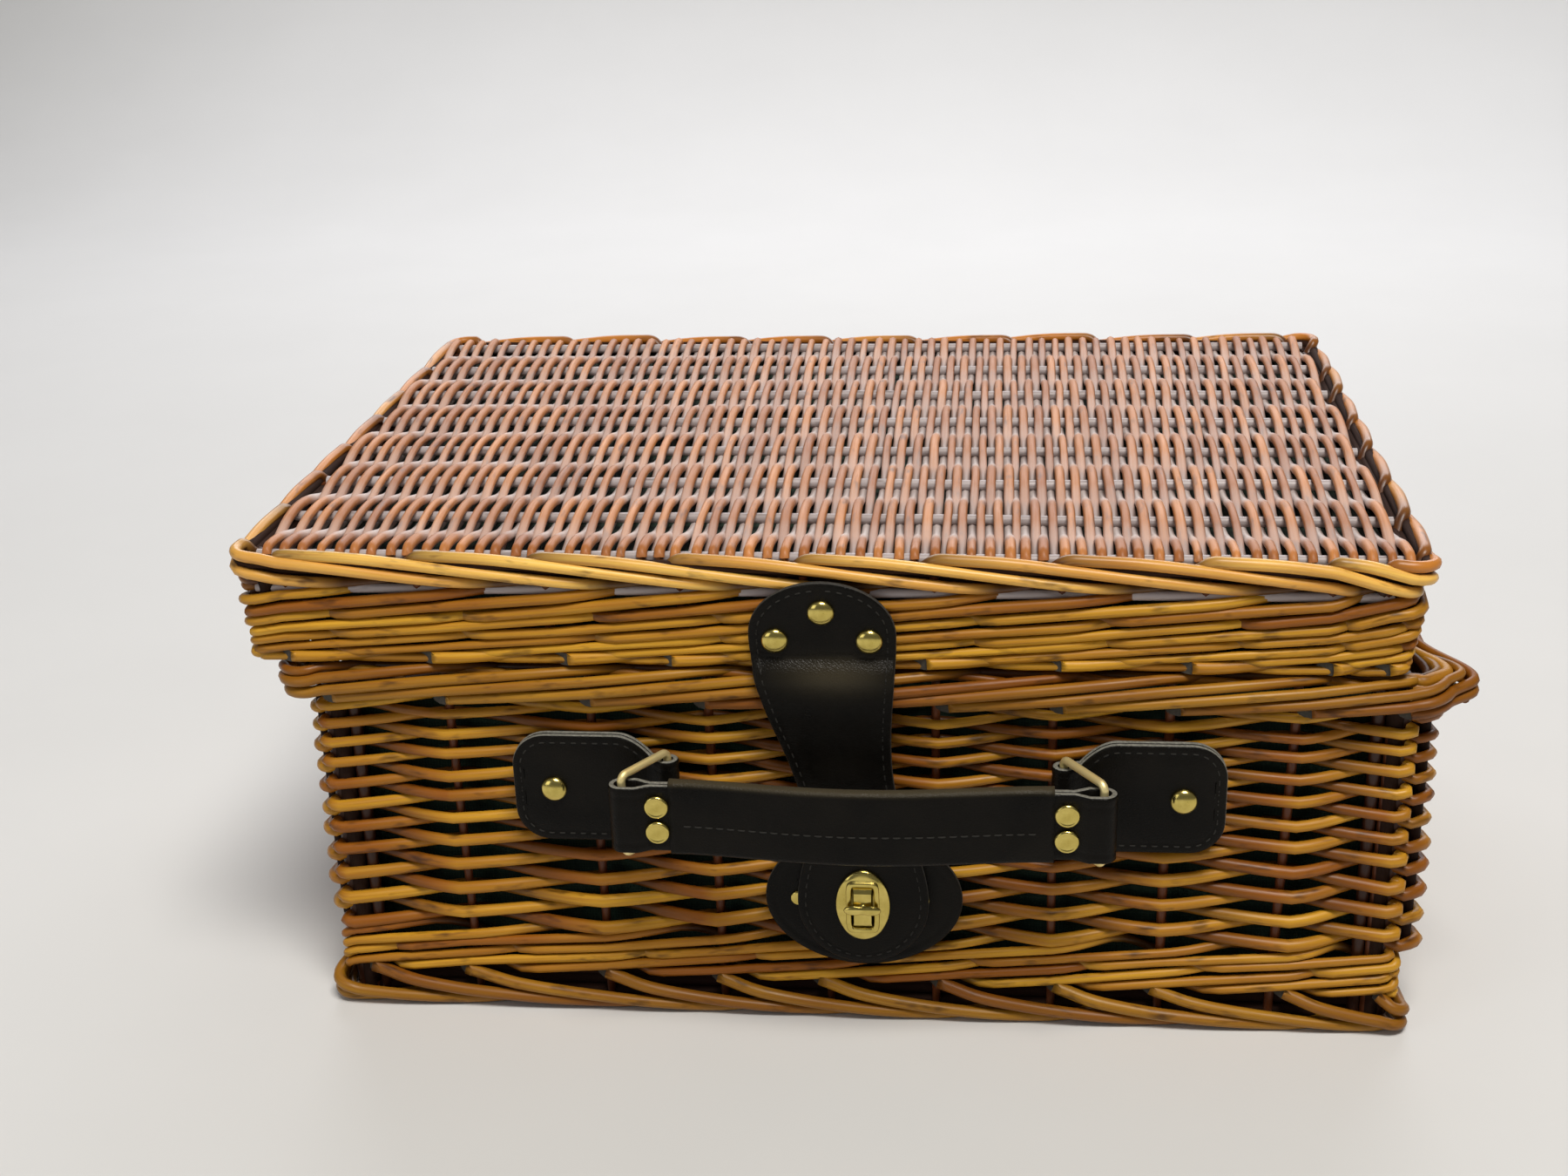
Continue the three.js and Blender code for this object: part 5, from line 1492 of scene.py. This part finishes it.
def make_sleeve():
    x = np.linspace(-sleeve_half[0], sleeve_half[0], SLEEVE_STEPS + 1)
    bow = -HANDLE_ARCH * (1 - (x / sleeve_half[0]) ** 2) ** 2
    near_end = (np.abs(x) - sleeve_half[0] + SLEEVE_FLARE_LENGTH) / SLEEVE_FLARE_LENGTH
    flare = 1 + SLEEVE_FLARE * smooth(near_end)
    outer = sleeve_section(sleeve_thick, sleeve_half[2], SLEEVE_ROUND)
    outer[:, 0] *= sleeve_swell(outer[:, 1])
    inner = sleeve_section(sleeve_thick - SLEEVE_WALL, sleeve_half[2] - SLEEVE_WALL, SLEEVE_INNER_ROUND)
    tubes = []
    for section in (outer, inner):
        y = bow[:, None] + section[:, 0] * flare[:, None]
        tubes.append(np.stack(np.broadcast_arrays(x[:, None], y, section[:, 1]), axis=2))
    rings = handle_centre + np.concatenate([tubes[0], tubes[1][::-1]])
    count = len(outer)
    kinds = np.zeros((len(rings), count), int)
    kinds[[SLEEVE_STEPS, -1]] = 1
    name = "handle_sleeve_leather"
    mesh = mesh_from(name, rings.reshape(-1, 3), ring_faces(len(rings), count), (LEATHER_DARK, RAW_EDGE),
                     kinds.ravel(), merge=0.01)
    painted_highlight(piece(name, mesh, ("handle_sleeve",), "handle"), sleeve_highlight)
    seam = sleeve_half[2] * (1 - 2 * SLEEVE_SEAM_SHARE)
    line = handle_centre + columns(x, bow - sleeve_thick * sleeve_swell(seam), seam)
    out = np.tile((0, -1.0, 0), (len(x), 1))
    stitches("handle_sleeve_stitches", line[2:-2], out[2:-2], "handle")


# Lock patch: a lens of leather on the wall under the strap's end

def make_patch():
    low, high = node_box("lock_patch")
    centre = (low + high) / 2
    half = (high - low) / 2
    along = -half[0] * np.cos(np.linspace(0, np.pi, PATCH_STEPS))
    across = half[2] * np.sqrt(np.maximum(1 - np.abs(along / half[0]) ** PATCH_POWER, 0))

    def place(height, x, depth):
        return columns(centre[0] + x, low[1] + depth, centre[2] + height)

    leather_piece("lock_patch_leather", along, across, place, ("lock_patch",), "base", DYED_EDGE)


# Hinge straps: each one strip from the base's wall over the seam to the lid's wall

def make_hinge(side):
    nodes = (f"hinge_leaf_base_{side}", f"hinge_leaf_lid_{side}")
    (low, base_top), (lid_under, high) = map(node_box, nodes)
    middle = (low[0] + high[0]) / 2
    half = (high[0] - low[0]) / 2
    wall = low[1] + LEATHER
    rim = base_top[1]
    foot = lid_under[1] + LEATHER
    strip = Strip(spline([
        (high[1], high[2]), ((foot + high[1]) / 2, (seam_z + high[2]) / 2 + 4), (foot + 0.2, seam_z + 14),
        (rim - 0.8, seam_z + 7), (rim, seam_z), (rim, seam_z - 8), (rim - 0.6, seam_z - 14),
        (wall + 1.2, seam_z - 20), (wall, seam_z - 25), (wall, low[2])], steps=8))

    def half_at(marks):
        return half - HINGE_ROUND * (1 - round_off(1 - np.minimum(marks, strip.total - marks) / HINGE_ROUND))

    def place(across, along, depth):
        return np.column_stack([middle + across, strip.at(along, depth)])

    lengths, halves = round_cornered(strip.total, HINGE_ROUND, half_at, steps=60, corner_steps=8, end_steps=3)
    strap = leather_piece(f"hinge_{side}_leather", lengths, halves, place, nodes)
    sewn = stitches(f"hinge_{side}_stitches", *edge_line(place, lengths, halves))
    bend((strap, sewn), "base", "lid", (middle, rim, seam_z), HINGE_BEND)


# Turn lock

def brass_piece(name, points, faces, nodes, body):
    return piece(name, mesh_from(name, points, faces, (BRASS,), merge=0.001), nodes, body)


def oblong(half, power, turn):
    """A squarish oval: the higher its power, the squarer."""
    direction = columns(np.cos(turn), np.sin(turn))
    radius = (np.abs(direction / half) ** power).sum(axis=1) ** (-1 / power)
    return radius[:, None] * direction


def make_plate():
    """A domed oval with a raised frame round its slot, as rings from its outer edge to the slot."""
    low, high = node_box("lock_slot_plate")
    rise = high[1] - low[1]
    turn = full_turn(PLATE_SIDES)
    oval = oblong((high - low)[[0, 2]] / 2, 2, turn)
    hole = oblong(PLATE_SLOT, 9, turn)
    edge = oblong(PLATE_SLOT + PLATE_FRAME, 7, turn)
    rings = [(oval, 0), (oval, 0.4), (0.985 * oval, 0.75)]
    for share in np.linspace(0.06, 0.94, 6):
        dome = PLATE_LIP + (0.62 * rise - PLATE_LIP) * math.sin(share * math.pi / 2)
        rings.append((oval + (edge - oval) * share, dome))
    for share, height in ((0, 0.66), (0.03, 0.92), (0.15, 1), (0.75, 1), (1, 0.93), (1, 0)):
        rings.append((edge + (hole - edge) * share, height * rise))
    points = [columns(flat[:, 0], -up, flat[:, 1]) for flat, up in rings]
    middle = np.array((lock_centre[0], high[1], lock_centre[2]))
    brass_piece("lock_plate_brass", middle + np.vstack(points), ring_faces(len(rings), PLATE_SIDES),
                ("lock_slot_plate",), "strap_flap")


def make_knob():
    """A cross bar with two swellings, on a round pin."""
    low, high = node_box("lock_knob")
    half = (high - low) / 2
    x, _, z = (low + high) / 2
    thick = KNOB_THICKNESS / 2
    axis = low[1] + thick
    turn = full_turn(KNOB_SIDES)
    right, up = np.cos(turn), np.sin(turn)
    rings = []
    for share in np.linspace(-1, 1, KNOB_STEPS):
        swell = KNOB_WAIST + (1 - KNOB_WAIST) * math.sin(math.pi * abs(share)) ** 2
        swell *= math.sqrt(max(1 - abs(share) ** KNOB_END_POWER, KNOB_END))
        rings.append(columns(x + half[0] * share, axis + thick * swell * right, z + half[2] * swell * up))
    for y in (axis, high[1]):
        rings.append(columns(x + KNOB_PIN * right, y, z + KNOB_PIN * up))
    faces = capped_faces(KNOB_STEPS, KNOB_SIDES) + capped_faces(2, KNOB_SIDES, KNOB_STEPS * KNOB_SIDES)
    brass_piece("lock_knob_brass", np.vstack(rings), faces, ("lock_knob",), "lock_knob")


def make_post():
    """The fixed block that stands in the plate's slot, with sloping ends."""
    seat_low, seat_high = node_box("lock_seat_plate")
    middle = (seat_low + seat_high) / 2
    knob_low, _ = node_box("lock_knob")
    top = knob_low[1] + KNOB_THICKNESS + 0.2
    wide, tall = PLATE_SLOT - POST_PLAY
    levels = ((wide, tall, seat_low[1]), (wide, tall, top + 1.4), (wide - 0.3, tall - 0.5, top + 0.7),
              (wide - 0.5, tall - 2.2, top))
    points = [(middle[0] + x * w, y, middle[2] + z * t) for w, t, y in levels
              for x, z in ((-1, -1), (1, -1), (1, 1), (-1, 1))]
    block = brass_piece("lock_post_brass", points, capped_faces(4, 4), (), "base")
    block.data.shade_flat()


# Rivets: turned heads

def lathe_mesh(name, profile):
    """A turned head about -Y, from (radius, height) points that end on the axis."""
    turn = full_turn(RIVET_SIDES)
    rings = [columns(radius * np.cos(turn), -height, radius * np.sin(turn)) for radius, height in profile]
    faces = [tuple(range(RIVET_SIDES))[::-1]] + ring_faces(len(rings), RIVET_SIDES, closed=False)
    return mesh_from(name, np.concatenate(rings), faces, (BRASS,), merge=0.01)


def dome_profile(radius, height):
    turn = np.linspace(0, np.pi / 2, 9)
    dome = columns(radius * np.cos(turn), DOME_LIP + (height - DOME_LIP) * np.sin(turn))
    return [(radius - 0.25, -0.1), (radius, 0.1), *dome]


def flat_profile(radius, height):
    return [(radius - 0.2, -0.1), (radius, 0.2), (radius, 0.55 * height), (radius - 0.25, 0.85 * height),
            (radius - 0.7, height), (radius - 1.1, 0.97 * height), (radius - 1.35, 0.86 * height),
            (radius * 0.45, 0.97 * height), (0.0, height)]


def rivet(node, head, spot, body, tilt=0.0, back=False):
    turn = Matrix.Rotation(math.pi if back else 0.0, 4, "Z")
    matrix = Matrix.Translation(Vector(spot) * MM) @ Matrix.Rotation(tilt, 4, "X") @ turn
    piece(f"{node}_head", head.copy(), (node,), body, matrix)


def seated_rivet(node, head, height, body, shift=0.0, tilt=0.0, back=False):
    """A rivet whose head ends where its solid does, on the front or on the back."""
    low, high = node_box(node)
    y = high[1] - height if back else low[1] + height
    rivet(node, head, ((low[0] + high[0]) / 2 + shift, y, (low[2] + high[2]) / 2), body, tilt, back)


def make_rivets():
    dome = lathe_mesh("dome_head", dome_profile(DOME_RADIUS, DOME_HEIGHT))
    flat = lathe_mesh("flat_head", flat_profile(HANDLE_RIVET_RADIUS, HANDLE_RIVET_HEIGHT))
    small = lathe_mesh("small_head", flat_profile(PATCH_RIVET_RADIUS, PATCH_RIVET_HEIGHT))
    for i in STRAP_RIVETS:
        node = f"strap_rivet_{i}"
        x, _, z = node_centre(node)
        above, spot, below = strap_place(0, z + np.array((2, 0, -2)), 0)
        tilt = math.atan2(below[1] - above[1], above[2] - below[2])
        rivet(node, dome, (x, spot[1], spot[2]), "lid", tilt)
    lean = math.atan2(LID_FLARE, lid_rise)
    for side in SIDES:
        seated_rivet(f"tab_rivet_{side}", dome, DOME_HEIGHT, "base")
        seated_rivet(f"patch_rivet_{side}", small, PATCH_RIVET_HEIGHT, "base", PATCH_RIVET_SHIFT[side])
        for level in ("upper", "lower"):
            seated_rivet(f"handle_rivet_{side}_{level}", flat, HANDLE_RIVET_HEIGHT, "handle")
        seated_rivet(f"hinge_rivet_base_{side}", dome, DOME_HEIGHT, "base", back=True)
        seated_rivet(f"hinge_rivet_lid_{side}", dome, DOME_HEIGHT + 0.5, "lid", tilt=-lean, back=True)


# Stage, light and camera

def make_stage():
    """A floor that curves up into a wall far behind."""
    front = WALL_BACK - COVE_RADIUS
    cove = arc_points((front, COVE_RADIUS), COVE_RADIUS, -90, 0, COVE_STEPS)
    curve = [(-FLOOR_REACH, 0.0), *cove, (WALL_BACK, WALL_RISE)]
    points = [(x, y, z) for y, z in curve for x in (-FLOOR_REACH, FLOOR_REACH)]
    faces = [(2 * i, 2 * i + 1, 2 * i + 3, 2 * i + 2) for i in range(len(curve) - 1)]
    mesh = mesh_from("studio_floor", np.array(points) / MM, faces, (PALE_FLOOR,))
    floor = bpy.data.objects.new("studio_floor", mesh)
    bpy.context.scene.collection.objects.link(floor)


def area_light(name, place, target, size, power, tint=(1, 1, 1)):
    """A lamp that faces a target, in metres and watts."""
    light = bpy.data.lights.new(name, "AREA")
    light.shape = "RECTANGLE"
    light.size, light.size_y = size
    light.energy = power
    light.color = tint
    lamp = bpy.data.objects.new(name, light)
    lamp.location = place
    lamp.rotation_euler = (Vector(target) - Vector(place)).to_track_quat("-Z", "Y").to_euler()
    bpy.context.scene.collection.objects.link(lamp)


def make_light():
    world = bpy.data.worlds.new("studio")
    bpy.context.scene.world = world
    world.use_nodes = True
    background = world.node_tree.nodes["Background"]
    background.inputs["Color"].default_value = colour(0.95, 0.97, 1.0)
    background.inputs["Strength"].default_value = 0.15
    area_light("key", place=(0.4, -1.1, 2.4), target=(0, 0, 0.1), size=(1.0, 0.8), power=58,
               tint=(1.0, 0.96, 0.9))
    area_light("back", place=(0.0, 1.7, 1.15), target=(0, 0, 0.2), size=(2.4, 1.1), power=26,
               tint=(0.95, 0.95, 1.0))
    area_light("fill", place=(-1.7, -1.6, 1.0), target=(0, 0, 0.1), size=(1.2, 1.2), power=6)


def make_camera():
    data = bpy.data.cameras.new("camera")
    data.sensor_fit = "HORIZONTAL"
    data.sensor_width = CAMERA_SENSOR
    data.lens = CAMERA_LENS
    matrix = Matrix.Translation(Vector(CAMERA_PLACE) * MM)
    for angle, axis in ((-CAMERA_YAW, "Z"), (math.pi / 2 - CAMERA_PITCH, "X"), (CAMERA_ROLL, "Z")):
        matrix = matrix @ Matrix.Rotation(angle, 4, axis)
    camera = bpy.data.objects.new("camera", data)
    camera.matrix_world = matrix
    bpy.context.scene.collection.objects.link(camera)
    bpy.context.scene.camera = camera


def dress_solids():
    """Brass and leather for the solids themselves."""
    looks = {"brass": BRASS, "leather": LEATHER_DARK}
    for part in frame["record"]["subparts"]:
        if part["material_slot"] in looks:
            materials = frame["nodes"][part["node"]].data.materials
            materials.clear()
            materials.append(looks[part["material_slot"]])


make_camera()
make_siding()
make_foot()
make_rim()
make_stakes("base", base_plan, base_post_heights)
make_lid_wall()
make_lid_border()
make_stakes("lid", lid_plan, lid_post_heights)
make_panels()
make_linings()
make_strap()
for side, sign in SIDES.items():
    make_band(side, sign)
make_sleeve()
make_patch()
for side, sign in SIDES.items():
    make_tab(side, sign)
    make_hinge(side)
make_plate()
make_knob()
make_post()
make_rivets()
make_corner_fill()
make_stage()
make_light()
dress_solids()

bpy.context.scene.view_settings.view_transform = "Standard"
